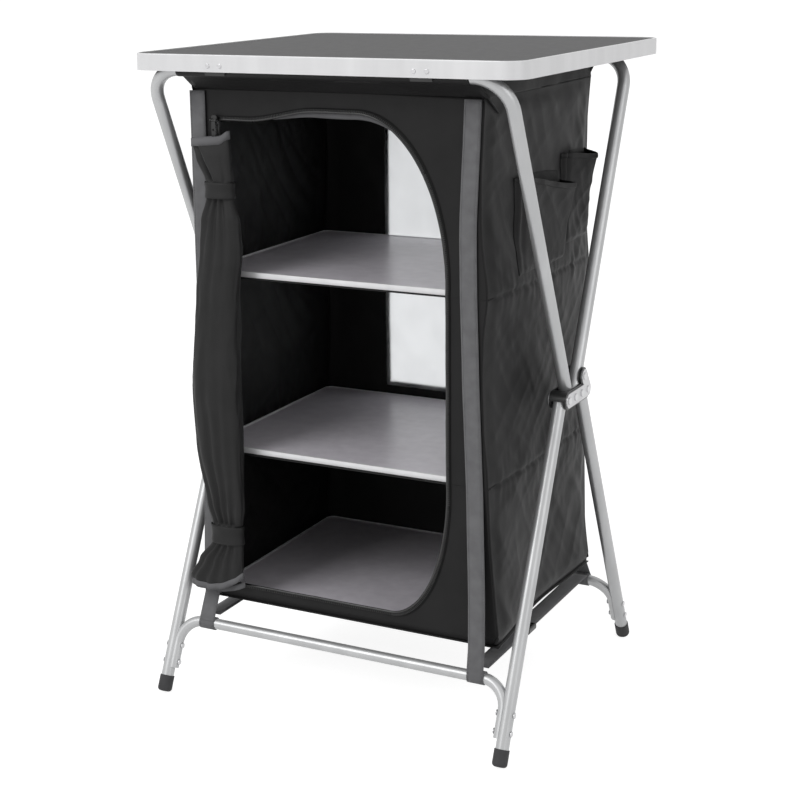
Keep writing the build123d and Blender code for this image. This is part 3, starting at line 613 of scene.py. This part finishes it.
def holed_wall(name, end, hole, y_at, rows=20):
    """A wall between a hole and the outline of the cupboard, as a ring of quads."""
    centre = (sum(p[0] for p in hole) / len(hole), sum(p[1] for p in hole) / len(hole))
    outline = square_loop(hole, -WALL_X, WALL_X, BOTTOM_Z, TOP_Z, centre)

    def at(u, v):
        i = round(u * len(hole)) % len(hole)
        (x0, z0), (x1, z1) = hole[i], outline[i]
        x, z = x0 + (x1 - x0) * v, z0 + (z1 - z0) * v
        x *= (edge_x(end, x, z) / WALL_X - 1) * v + 1
        lift = foot_lift(end, side_of(x), edge_x(end, x, z) - abs(x), z)
        return Vector((x, y_at(x, z), z + lift))
    return surface(name, rows, len(hole), at, wrap=True)


def front_y(x, z):
    """Depth of the front wall: nearly flat, softer above and below the door."""
    inside = edge_fade(WALL_X - abs(x), z - BOTTOM_Z, TOP_Z - z, reach=0.02)
    depth = CREASE_DEPTH["front"] * wrinkle(x, z, 2.0) + 0.5 * MM * pucker(x, z, 4.0)
    tuck = FRONT_TUCK[0] * (1 - smooth_step((z - BOTTOM_Z) / FRONT_TUCK[1]))
    return FRONT_Y + CLOTH_T / 2 + 1.2 * MM + depth * inside + tuck


def on_front(points, lift=0.0):
    return [Vector((x, front_y(x, z) - lift, z)) for x, z in points]


def make_front_wall():
    wall = thicken(holed_wall("front_wall", "front", door_loop(), front_y), SHEET_T)
    settle(wall, BLACK_CLOTH, "cloth_front", "front_panel")


def make_zip():
    """Tape, teeth and the rounded edge of the opening."""
    outer = on_front(door_loop(ZIP_W), 1.2 * MM)
    inner = on_front(door_loop(), 1.6 * MM)
    count = len(inner)

    def tape_at(u, v):
        i = round(u * count) % count
        return inner[i].lerp(outer[i], v)
    tape = thicken(surface("zip_tape", 2, count, tape_at, wrap=True), ZIP_TAPE_T)
    settle(tape, ZIP_TAPE_AND_SHADE, "cloth_front", "door_zip")
    edge = piping("door_edge", on_front(door_loop(0.6 * MM), 0.8 * MM), 2.0 * MM, closed=True)
    settle(edge, ZIP_TEETH, "cloth_front")
    line = resample(on_front(door_loop(ZIP_W * 0.5), 2.4 * MM), TOOTH_PITCH)
    out = Vector((0, -1, 0))
    places = []
    for point, way in zip(line, along(line)):
        side = way.cross(out).normalized()
        places.append((point, way * TOOTH[0], side * TOOTH[1], out * TOOTH[2]))
    teeth = tapered_blocks("zip_teeth", places, (1, 1, 0), (0.7, 0.9, 1))
    settle(teeth, ZIP_TEETH, "cloth_front")


def make_door_binding():
    """Grey inner binding that hangs just below the arch of the opening."""
    arc = door_loop()[UNDER_ARCH]

    def at(u, v):
        x, z = arc[round(u * (len(arc) - 1))]
        hang = BINDING_HANG * math.sin(math.pi * u) ** 0.6
        return Vector((x, FRONT_Y + (5 + 3 * v) * MM, z + 1 * MM - hang * v))
    binding = thicken(surface("door_binding", 4, len(arc) - 1, at), BINDING_T)
    settle(binding, GREY_BINDING, "cloth_front")


# Side walls, back wall and floors
def side_x(side, y, z):
    """How far out a side wall stands at y and z."""
    side_name = side_of(side)
    inside = edge_fade(y - FRONT_Y, BACK_Y - y, z - BOTTOM_Z, TOP_Z - z)
    share = (y - FRONT_Y) / (BACK_Y - FRONT_Y)
    wide = corner_gain("front", side_name, z) * smooth_step(1 - 2 * share)
    wide += corner_gain("back", side_name, z) * smooth_step(2 * share - 1)
    bulge = BULGE * math.sin(math.pi * min(max(share, 0.0), 1.0))
    depth = CREASE_DEPTH["side"] * wrinkle(y, z, 20.0 + side) + SEAM_DIP * pucker(y, z, 30.0 + side)
    tuck = SIDE_TUCK[0] * (1 - smooth_step((z - BOTTOM_Z) / SIDE_TUCK[1]))
    return half_width(z) + wide + (bulge + depth) * inside - tuck


def make_side_wall(side_name, side):
    def at(u, v):
        z = BOTTOM_Z + v * (TOP_Z - BOTTOM_Z)
        front, back = FRONT_Y + 1 * MM, BACK_Y - 1 * MM
        y = front + u * (back - front)
        lift = foot_lift("front", side_name, y - front, z)
        lift += foot_lift("back", side_name, back - y, z)
        return Vector((side * side_x(side, y, z), y, z + lift))
    wall = thicken(surface(f"side_wall_{side_name}", 260, 150, at), SHEET_T)
    settle(wall, BLACK_CLOTH, "cloth_sides", f"side_panel_{side_name}")
    fold_flat(wall)


def back_y(x, z):
    inside = edge_fade(WALL_X - abs(x), z - BOTTOM_Z, TOP_Z - z)
    depth = CREASE_DEPTH["back"] * wrinkle(x, z, 40.0) + SEAM_DIP * pucker(x, z, 44.0)
    return BACK_Y - CLOTH_T / 2 - 1 * MM + depth * inside


# Window film: how far it is sewn under the wall's edge, and its thickness
FILM_LAP = 4 * MM
FILM_T = 0.4 * MM


def make_back_wall():
    low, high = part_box("back_window")
    corners = [(low.x, low.z), (low.x, high.z), (high.x, high.z), (high.x, low.z)]
    hole = []
    for a, b, count in zip(corners, corners[1:] + corners[:1], (60, 30, 60, 30)):
        hole += straight(a, b, count)
    wall = thicken(holed_wall("back_wall", "back", hole, back_y, rows=30), SHEET_T)
    settle(wall, BLACK_CLOTH, "cloth_back", "back_panel")

    def film_at(u, v):
        x = low.x - FILM_LAP + u * (high.x - low.x + 2 * FILM_LAP)
        z = low.z - FILM_LAP + v * (high.z - low.z + 2 * FILM_LAP)
        ripple = 1.5 * MM * noise.noise(Vector((x * 14, z * 5, 50.0)))
        return Vector((x, back_y(x, z) - 1.4 * MM + min(ripple, 0.6 * MM), z))
    film = thicken(surface("window_film", 60, 30, film_at), FILM_T)
    settle(film, FILM, "cloth_back", "back_window")
    edge = piping("window_binding", [Vector((x, back_y(x, z), z)) for x, z in hole], 3.2 * MM,
                  closed=True, flat=0.45, normal=Vector((0, 1, 0)))
    settle(edge, BLACK_CLOTH, "cloth_back")


# How far each cloth floor hangs through
SAG = {"upper": 1 * MM, "middle": 1 * MM, "lower": 3 * MM}


def make_floor(level):
    low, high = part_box(f"floor_cloth_{level}")
    top = high.z - SHEET_T / 2 - 0.2 * MM

    def at(u, v):
        x, y = low.x + u * (high.x - low.x), low.y + v * (high.y - low.y)
        if level == "lower":
            front, back = [CORNERS[(end, side_of(x))][0] for end in WAY]
            x += (2 * u - 1) * (front * smooth_step(1 - 2 * v) + back * smooth_step(2 * v - 1))
        share = math.sin(math.pi * u) * math.sin(math.pi * v)
        ripple = 0.8 * MM * noise.noise(Vector((x * 12, y * 12, low.z * 40)))
        return Vector((x, y, top - share * (SAG[level] + ripple)))
    floor = thicken(surface(f"floor_sheet_{level}", 40, 40, at), SHEET_T)
    settle(floor, BLACK_CLOTH, "cloth_sides", f"floor_cloth_{level}")
    fold_flat(floor)


# Sloping cloth under the table top: how far it reaches below the seam inside the wall, half
# the lengths of the sleeve and the slope, and the part that stays with the wall in the fold
FLAP = 46 * MM
SLEEVE_HALF = 224.5 * MM
VALANCE_HALF = 229 * MM
SLEEVE_T = 0.4 * MM
FOOT_H, FOOT_T = 34 * MM, 0.8 * MM


def slope_ends(end, above_seam):
    """The middle of the top rail and a point just inside the wall's upper edge."""
    seam_y = WALL_Y[end] - WAY[end] * 1.5 * MM
    return Vector((0, TOP_RAIL_Y[end], TOP_RAIL_Z)), Vector((0, seam_y, TOP_Z + above_seam))


def make_valance(end):
    way = WAY[end]
    rail, seam = slope_ends(end, 1 * MM)
    hang = (seam - rail).normalized()
    out = Vector((0, hang.z, -hang.y)) * way
    near = TUBE_R + 0.6 * MM
    reach = (seam - rail).length

    def at(u, v):
        x = (2 * u - 1) * VALANCE_HALF
        s = near + v * (reach + FLAP - near)
        ripple = noise.noise(Vector((x * 9, s * 12, 60.0 + way)))
        fine = noise.noise(Vector((x * 50, s * 20, 66.0 + way)))
        bow = (1.6 * MM * ripple + 0.5 * MM * fine) * math.sin(math.pi * min(v * 1.6, 1.0))
        return rail + hang * s + out * bow + Vector((x, 0, 0))
    sheet = thicken(surface(f"valance_sheet_{end}", 30, 120, at), SHEET_T)

    def sleeve_at(u, v):
        x = (2 * u - 1) * SLEEVE_HALF
        angle = 2 * math.pi * v
        gather = 0.25 * MM * noise.noise(Vector((x * 60, angle * 2, 70.0)))
        radius = near - 0.1 * MM + abs(gather)
        return rail + (hang * math.cos(angle) + out * math.sin(angle)) * radius + Vector((x, 0, 0))
    sleeve = thicken(surface(f"sleeve_{end}", 28, 130, sleeve_at), SLEEVE_T, offset=1.0)
    settle(sheet, BLACK_CLOTH, f"valance_{end}", f"valance_{end}")
    settle(sleeve, BLACK_CLOTH, f"valance_{end}")


def make_valance_foot(end):
    """The lower part of the slope, which stays with the wall when the frame folds."""
    rail, seam = slope_ends(end, -1 * MM)
    climb = (rail - seam).normalized()
    inward = Vector((0, -WAY[end] * 1.6 * MM, 0))

    def at(u, v):
        x = (2 * u - 1) * (VALANCE_HALF - 2 * MM)
        return seam + inward + climb * (v * FOOT_H) + Vector((x, 0, 0))
    foot = thicken(surface(f"valance_foot_{end}", 8, 60, at), FOOT_T)
    settle(foot, BLACK_CLOTH, f"cloth_{end}")
    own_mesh(foot)


def make_gusset(side_name, side):
    """Small wall that closes the slope at one side."""
    low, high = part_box(f"top_gusset_{side_name}")
    top = high.z + 2 * MM

    def at(u, v):
        foot_y = FRONT_Y + u * (BACK_Y - FRONT_Y)
        head_y = low.y + u * (high.y - low.y)
        y = foot_y + (head_y - foot_y) * v
        z = TOP_Z - 1 * MM + v * (top - TOP_Z)
        crease = 5 * MM * v * noise.noise(Vector((y * 22, z * 8, 80.0 + side)))
        tuck = 7 * MM * v * (abs(2 * u - 1) ** 3)
        return Vector((side * (half_width(TOP_Z) + crease - tuck - 2 * MM * v), y, z))
    gusset = thicken(surface(f"gusset_{side_name}", 14, 80, at), SHEET_T)
    settle(gusset, BLACK_CLOTH, "cloth_sides", f"top_gusset_{side_name}")
    fold_flat(gusset)


# Pockets: tip of the mouth from its front end, droop there
POCKETS = {"pocket_front": (0.93, 24 * MM), "pocket_rear": (0.72, 8 * MM)}
MOUTH_STEPS = 110
# Thickness of the sheet of painted shade inside each pocket's mouth
PAINTED_SHADE_T = 0.4 * MM
# Hem of the mouth: height as a share of the pocket's, and half its width
HEM_AT, HEM_HALF = 0.985, 4.0 * MM


def make_pocket(name):
    low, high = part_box(name)
    reach = high.x - WALL_X
    tip, droop = POCKETS[name]
    seed = low.y * 100

    def open_share(u):
        """How wide the pocket gapes: slow to its tip, then a short fold back to the wall."""
        if u > tip:
            return smooth_step((1 - u) / (1 - tip))
        pleat = 1 - 0.75 * math.exp(-((u - 0.10) / 0.035) ** 2)
        return (0.28 + 0.72 * (u / tip) ** 1.4) * smooth_step(u / 0.05) * pleat

    def at(u, v):
        y = low.y + u * (high.y - low.y)
        mouth = high.z + 4 * MM - droop * smooth_step(min(u / tip, (1.3 - u) / (1.3 - tip)))
        z = low.z + v * (mouth - low.z)
        flat = 1 - abs(2 * u - 1) ** 5
        lift = open_share(u) * (5 * MM * smooth_step(v / 0.06) + (reach + 2 * MM) * v ** 1.3)
        crease = 2.4 * MM * wrinkle(y, z, seed) * smooth_step(v / 0.2)
        crease *= smooth_step((1.1 - v) / 0.3) * flat
        return Vector((side_x(1, y, z) + 0.8 * MM + max(lift + crease, 0), y, z))
    pocket = thicken(surface(f"{name}_cloth", 80, MOUTH_STEPS, at), SHEET_T)
    settle(pocket, BLACK_CLOTH, "cloth_sides", name)

    # Painted shade: a sheet of near-black zip-tape cloth on the wall inside the pocket's mouth,
    # where the pocket's inside lies in shadow
    def shade_at(u, v):
        y = low.y + (0.30 + 0.66 * u) * (high.y - low.y)
        z = high.z + 6 * MM - 9 * MM * u * u - v * 46 * MM
        return Vector((side_x(1, y, z) + 1.0 * MM, y, z))
    painted_shade = thicken(surface(f"{name}_lining", 12, 40, shade_at), PAINTED_SHADE_T)
    settle(painted_shade, ZIP_TAPE_AND_SHADE, "cloth_sides")
    hem_line = [at(i / MOUTH_STEPS, HEM_AT) + Vector((0.3 * MM, 0, 0))
                for i in range(MOUTH_STEPS + 1)]
    hem = piping(f"{name}_hem", hem_line, HEM_HALF, flat=0.28, normal=Vector((1, 0, 0)))
    settle(hem, BLACK_CLOTH, "cloth_sides")
    for piece in (pocket, hem, painted_shade):
        fold_flat(piece)


# Rolled door
# Share of the opening's height, middle left of its edge, width, depth (mm)
ROLL_SHAPE = [
    (0.960, 8, 64, 15),
    (0.925, 2, 58, 19),
    (0.875, -8, 44, 21),
    (0.842, -8, 44, 21),
    (0.795, -9, 64, 27),
    (0.740, -10, 70, 31),
    (0.640, -3, 71, 34),
    (0.425, 2, 83, 38),
    (0.315, 0, 79, 36),
    (0.185, -4, 63, 29),
    (0.138, -4, 50, 22),
    (0.098, -4, 50, 22),
    (0.055, 7, 74, 26),
    (0.010, 16, 91, 26),
    (-0.012, 15, 86, 24),
]
ROLL_SECTIONS = [(DOOR_BOTTOM + share * (DOOR_LEFT_TOP - DOOR_BOTTOM), DOOR_LEFT - out * MM,
                  w * MM, d * MM) for share, out, w, d in ROLL_SHAPE]
ROLL_TOP, ROLL_FOOT = ROLL_SECTIONS[0][0], ROLL_SECTIONS[-1][0]
TIES = [(ROLL_SECTIONS[low][0], ROLL_SECTIONS[high][0]) for low, high in ((3, 2), (11, 10))]
# Folds by angle and depth, at the foot, and with their reach below and above the ties
FOOT_FOLDS = ((0.8, 0.34), (1.2, 0.55), (1.62, 0.48), (2.05, 0.42), (3.6, 0.2), (4.6, 0.2))
FOLDS_DOWN = ((0.95, 0.62, 0.05), (1.4, 0.66, 0.07), (1.9, 0.5, 0.055), (3.9, 0.2, 0.05))
FOLDS_UP = ((0.95, 0.42, 0.07), (1.4, 0.62, 0.10), (1.75, 0.44, 0.11), (2.15, 0.42, 0.06))
ROLL_T = 1.4 * MM
TIE_T = 1.2 * MM
HEM_T = 1.0 * MM
HEM_STEPS = 96
# Height at each end over which the skin runs to its uneven hem
HEM_REACH = 50 * MM
# Power of the rounded square that a turn of the roll is
SQUARENESS = 2.4


def roll_section(z):
    """Middle, width and depth of the rolled door at a height."""
    for (z1, *upper), (z0, *lower) in zip(ROLL_SECTIONS, ROLL_SECTIONS[1:]):
        if z0 <= z <= z1:
            t = smooth_step((z - z0) / (z1 - z0)) * 0.6 + (z - z0) / (z1 - z0) * 0.4
            return [a + (b - a) * t for a, b in zip(lower, upper)]
    return list(ROLL_SECTIONS[0][1:] if z > ROLL_TOP else ROLL_SECTIONS[-1][1:])


def in_tie(z):
    return any(low <= z <= high for low, high in TIES)


def fold(angle, middle, width):
    return math.exp(-((angle - middle) / width) ** 2)


def roll_folds(angle, z):
    """Share by which the roll's skin stands in (negative) or out at an angle; 0 faces left."""
    (low_2, high_2), (low_1, high_1) = TIES
    total = 0.0
    if z > high_2:
        t = (z - high_2) / (ROLL_TOP - high_2)
        deep = smooth_step(4 * (1 - t)) * smooth_step(3 * t + 0.4)
        total -= 0.95 * deep * fold(angle, 1.12 - 0.5 * t, 0.17)
        total += 0.16 * deep * fold(angle, 1.5 - 0.45 * t, 0.2)
        total -= 0.22 * (1 - t) * fold(angle, 2.2, 0.14)
    elif z < low_1:
        t = (low_1 - z) / (low_1 - ROLL_FOOT)
        wide = 0.13 + 0.10 * t
        for middle, depth in FOOT_FOLDS:
            lean = middle + 0.35 * t * (middle - 1.5)
            total -= depth * (1 - 0.35 * t) * fold(angle, lean, wide)
    else:
        down, rise = max(low_2 - z, 0), max(z - high_1, 0)
        for middle, depth, reach in FOLDS_DOWN:
            lean = middle + 2.0 * down * (middle - 1.4)
            total -= depth * math.exp(-down / reach) * fold(angle, lean, 0.15)
        for middle, depth, reach in FOLDS_UP:
            lean = middle + 2.6 * rise * (middle - 1.6)
            total -= depth * math.exp(-rise / reach) * fold(angle, lean, 0.13)
    return total


def roll_point(turn, z, lift=0.0):
    """A point of the roll's skin; turn runs once round it, 0 at its left edge."""
    middle, width, depth = roll_section(z)
    angle = 2 * math.pi * turn
    c, s = math.cos(angle), math.sin(angle)
    square = (abs(c) ** SQUARENESS + abs(s) ** SQUARENESS) ** (-1 / SQUARENESS)
    loose = 0.07 * noise.noise(Vector((c * 1.6, s * 1.6, z * 9)))
    loose += 0.03 * ridged(Vector((c * 3, s * 3, z * 14 + 5)))
    keep, folds = (0.3, 0.0) if in_tie(z) else (1.0, roll_folds(angle, z))
    size = square * (1 + (loose + 0.02 * math.sin(2 * angle + 11 * z)) * keep) * 0.97
    dent = 1 + folds
    x = middle - c * (width / 2) * size * (1 + (dent - 1) * 0.35)
    y = ROLL_BACK_Y - depth / 2 - s * (depth / 2) * size * dent
    way = Vector((-c, -s, 0))
    return Vector((x, min(y, ROLL_BACK_Y - 0.2 * MM), z)) + way * lift


def roll_end(z, turn):
    """The hems run uneven: bent at the top, curved up to both sides at the foot."""
    x = roll_point(turn, z).x
    if z > 0.5:
        return 0.10 * (x + 0.205) + 6 * MM * smooth_step((x + 0.178) / 0.012)
    off = x + 0.218
    return 18 * MM * (off / 0.05) ** 2 if off > 0 else 6 * MM * (off / 0.04) ** 2


def skin(turn, share, lift=0.0):
    z = ROLL_FOOT + share * (ROLL_TOP - ROLL_FOOT)
    point = roll_point(turn, z, lift)
    top_pull = smooth_step((z - ROLL_TOP + HEM_REACH) / HEM_REACH) * roll_end(ROLL_TOP, turn)
    foot_pull = smooth_step((ROLL_FOOT + HEM_REACH - z) / HEM_REACH) * roll_end(ROLL_FOOT, turn)
    point.z += top_pull + foot_pull
    return point


def make_foot_layer():
    """Hem of an inner turn of the rolled door, hanging lower than the outer one."""
    def at(u, v):
        x = -0.212 + u * 0.052
        low = ROLL_FOOT - 4 * MM + 12 * MM * u * u
        y = ROLL_BACK_Y - 6 * MM - 7 * MM * math.sin(math.pi * u) - 2 * MM * math.sin(9 * u)
        return Vector((x, y, low + v * 9 * MM))
    return thicken(surface("door_hem_inner", 3, 24, at), HEM_T)


def make_rolled_door():
    roll = thicken(surface("door_roll", 260, HEM_STEPS, skin, wrap=True), ROLL_T, offset=-1.0)
    settle(roll, DOOR_CLOTH, "cloth_front", "rolled_door")

    def core_at(u, v):
        return skin(u, 0.02 + v * 0.965, -6 * MM)
    core = surface("door_roll_core", 60, 48, core_at, wrap=True)
    settle(core, DOOR_CLOTH, "cloth_front")

    def hem(name, share, width, lift):
        line = [skin(i / HEM_STEPS, share, lift) for i in range(HEM_STEPS)]

        def at(u, v):
            point = line[round(u * HEM_STEPS) % HEM_STEPS]
            return point + Vector((0, 0, (v - 0.5) * width))
        return thicken(surface(name, 2, HEM_STEPS, at, wrap=True), HEM_T)
    top = hem("door_hem_top", 0.997, 12 * MM, 0.8 * MM)
    foot = hem("door_hem_foot", 0.008, 10 * MM, 0.8 * MM)
    for piece in (top, foot, make_foot_layer()):
        settle(piece, GREY_BINDING, "cloth_front")
    for i, (low, high) in enumerate(TIES):
        def tie_at(u, v, low=low, high=high):
            z = low + v * (high - low)
            flare = 0.6 * MM * math.cos(2 * math.pi * v)
            return roll_point(u, z, 1.6 * MM + flare)
        tie = thicken(surface(f"door_tie_{i + 1}", 8, HEM_STEPS, tie_at, wrap=True), TIE_T)
        settle(tie, DOOR_CLOTH, "cloth_front", "door_ties" if i == 0 else None)


# Middle line of each corner strap on its wall, as x and height
STRAP_LINES = {
    ("front", "right"): [(0.2085, 0.905), (0.200, 0.731), (0.201, 0.636), (0.204, 0.525),
                         (0.209, 0.384), (0.214, 0.300), (0.2195, 0.217), (0.222, 0.146)],
    ("front", "left"): [(-0.2225, 0.905), (-0.2215, 0.600), (-0.218, 0.350), (-0.2255, 0.146)],
    ("back", "right"): [(0.214, 0.905), (0.209, 0.600), (0.214, 0.350), (0.219, 0.146)],
    ("back", "left"): [(-0.214, 0.905), (-0.209, 0.600), (-0.214, 0.350), (-0.219, 0.146)],
}
# Loop round the bottom rail: where, its first angle and its turn in degrees, and its points
LOOP_X = 0.221
LOOP_FROM, LOOP_TURN, LOOP_POINTS = -12, 335, 22
# Half a stitch's length, width and height, their pitch, and their way in from the strap's edge
STITCH = (1.3 * MM, 0.35 * MM, 0.45 * MM)
STITCH_PITCH = 4.2 * MM
STITCH_IN = 1.8 * MM
ACROSS = Vector((1, 0, 0))
STRAP_STEP = 8 * MM


def stitches(name, points, out, body):
    """Short raised threads along both edges of a strap whose outer face looks along out."""
    places = []
    for shift in (STITCH_IN - STRAP_W / 2, STRAP_W / 2 - STITCH_IN):
        line = resample([p + ACROSS * shift + out * (STRAP_T / 2) for p in points], STITCH_PITCH)
        for point, way in zip(line[1:-1], along(line)[1:-1]):
            height = ACROSS.cross(way).normalized() * STITCH[2]
            places.append((point, way * STITCH[0], ACROSS * STITCH[1], height))
    settle(tapered_blocks(name, places, (1, 1, -1), (0.7, 0.7, 1)), THREAD, body)


def make_corner_strap(end, side_name):
    way = WAY[end]
    wall_at = front_y if way < 0 else back_y
    lift = way * (2.0 * MM + STRAP_T / 2)
    rail = Vector((0, LOW_RAIL_Y[end], LOW_RAIL_Z))
    radius = RAIL_R + 0.3 * MM + STRAP_T / 2
    lines = STRAP_LINES[(end, side_name)]
    inner = -SIDES[side_name]
    track = rounded([Vector((x, 0, z)) for x, z in lines], STRAP_STEP, 10)
    line = []
    for p in track:
        reach = [wall_at(p.x + k * 4 * MM * inner, p.z) * way for k in range(-1, 3)]
        line.append(Vector((p.x, way * max(reach) + lift, p.z)))
    if (end, side_name) == ("front", "right"):
        start = next(p for p in line if p.z < PULL_TOP).copy()
        for p in line:
            if p.z < start.z:
                p.y = start.y + (rail.y - radius - start.y) * (start.z - p.z) / (start.z - rail.z)
    for _ in range(4):
        line[1:-1] = [(a + b * 2 + c) / 4 for a, b, c in zip(line, line[1:], line[2:])]
    tail = []
    for i in range(LOOP_POINTS):
        angle = math.radians(LOOP_FROM + LOOP_TURN * i / (LOOP_POINTS - 1))
        y, z = rail.y + way * radius * math.cos(angle), rail.z - radius * math.sin(angle)
        tail.append(Vector((math.copysign(LOOP_X, line[-1].x), y, z)))
    line = line + resample([line[-1], tail[0]], 6 * MM)[1:-1] + tail
    name = f"corner_strap_{end}_{side_name}"
    strap = ribbon(name, line, [ACROSS] * len(line), STRAP_W, STRAP_T)
    settle(strap, WEBBING, f"cloth_{end}", f"strap_{FRAME_END[end]}_{side_name}")
    sewn = line[:len(line) - len(tail) + 4]
    stitches(f"{name}_stitches", sewn, Vector((0, way, 0)), f"cloth_{end}")


def make_side_strap(side_name):
    low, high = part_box(f"side_strap_{side_name}")
    middle = (low.x + high.x) / 2
    top_z = high.z - STRAP_T / 2
    line = resample([Vector((middle, low.y, top_z)), Vector((middle, high.y, top_z))], STRAP_STEP)
    strap = ribbon(f"side_strap_web_{side_name}", line, [ACROSS] * len(line), STRAP_W, STRAP_T)
    settle(strap, WEBBING, "side_straps", f"side_strap_{side_name}")
    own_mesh(strap)


# Stage, light and camera
def behind_object(nodes, links):
    """1 for rays that show the background: straight to the camera, mirrored or through."""
    ray = nodes.new("ShaderNodeLightPath").outputs
    seen = maths(nodes, links, "MAXIMUM", ray["Is Camera Ray"], ray["Is Glossy Ray"])
    return maths(nodes, links, "MAXIMUM", seen, ray["Is Transmission Ray"])


def make_stage():
    corners = [(i * FLOOR_HALF, j * FLOOR_HALF, 0) for i, j in BLOCK_CORNERS]
    floor = mesh_object("floor", corners, [(0, 1, 2, 3)], smooth=False)
    look, nodes, links, shader = material("floor_paper")
    tone = noise_value(nodes, links, scale=0.6, detail=2.0)
    paint(nodes, links, shader, tone, grey(0.5), grey(0.52))
    shader.inputs["Roughness"].default_value = 0.9
    shader.inputs["Specular IOR Level"].default_value = 0.0
    glow = nodes.new("ShaderNodeEmission")
    glow.inputs["Color"].default_value = (1, 1, 1, 1)
    level = maths(nodes, links, "MULTIPLY", behind_object(nodes, links), FLOOR_GLOW)
    links.new(level, glow.inputs["Strength"])
    both = nodes.new("ShaderNodeAddShader")
    links.new(shader.outputs["BSDF"], both.inputs[0])
    links.new(glow.outputs["Emission"], both.inputs[1])
    links.new(both.outputs["Shader"], nodes["Material Output"].inputs["Surface"])
    dress(floor, look)


def make_world():
    world = bpy.data.worlds.new("studio")
    bpy.context.scene.world = world
    world.use_nodes = True
    nodes, links = world.node_tree.nodes, world.node_tree.links
    background = nodes["Background"].inputs
    background["Color"].default_value = (1, 1, 1, 1)
    level = range_value(nodes, links, behind_object(nodes, links), WORLD_LEVEL, 1.0)
    links.new(level, background["Strength"])


def make_lamp(name, place, size, power):
    lamp = bpy.data.lights.new(name, "AREA")
    lamp.energy = power
    lamp.size = size
    holder = bpy.data.objects.new(name, lamp)
    holder.location = place
    holder.rotation_euler = (Vector(LAMP_AIM) - Vector(place)).to_track_quat("-Z", "Y").to_euler()
    bpy.context.scene.collection.objects.link(holder)


def make_camera():
    yaw, pitch, roll = CAMERA_YAW, CAMERA_PITCH, CAMERA_ROLL
    flat = math.cos(pitch)
    ahead = Vector((-math.sin(yaw) * flat, math.cos(yaw) * flat, -math.sin(pitch)))
    level = Vector((math.cos(yaw), math.sin(yaw), 0))
    upright = level.cross(ahead)
    right = level * math.cos(roll) + upright * math.sin(roll)
    up = upright * math.cos(roll) - level * math.sin(roll)
    data = bpy.data.cameras.new("photo_camera")
    data.lens = CAMERA_LENS
    data.sensor_width = SENSOR_W
    data.shift_x, data.shift_y = CAMERA_SHIFT
    data.clip_end = CLIP_FAR
    camera = bpy.data.objects.new("photo_camera", data)
    turn = Matrix((right, up, -ahead)).transposed().to_4x4()
    camera.matrix_world = Matrix.Translation(CAMERA_AT) @ turn
    bpy.context.scene.collection.objects.link(camera)
    bpy.context.scene.camera = camera


def main():
    bpy.context.scene.view_settings.view_transform = "Standard"
    make_camera()
    make_stage()
    make_world()
    for name, (place, size, power) in LAMPS.items():
        make_lamp(name, place, size, power)
    dress_cad_nodes()
    make_front_wall()
    make_zip()
    make_door_binding()
    make_back_wall()
    for side_name, side in SIDES.items():
        make_side_wall(side_name, side)
    for level in SHELF_Z:
        make_floor(level)
    for end in WAY:
        make_valance(end)
        make_valance_foot(end)
        for side_name in SIDES:
            make_corner_strap(end, side_name)
    for side_name, side in SIDES.items():
        make_gusset(side_name, side)
        make_side_strap(side_name)
    for name in POCKETS:
        make_pocket(name)
    make_rolled_door()


main()
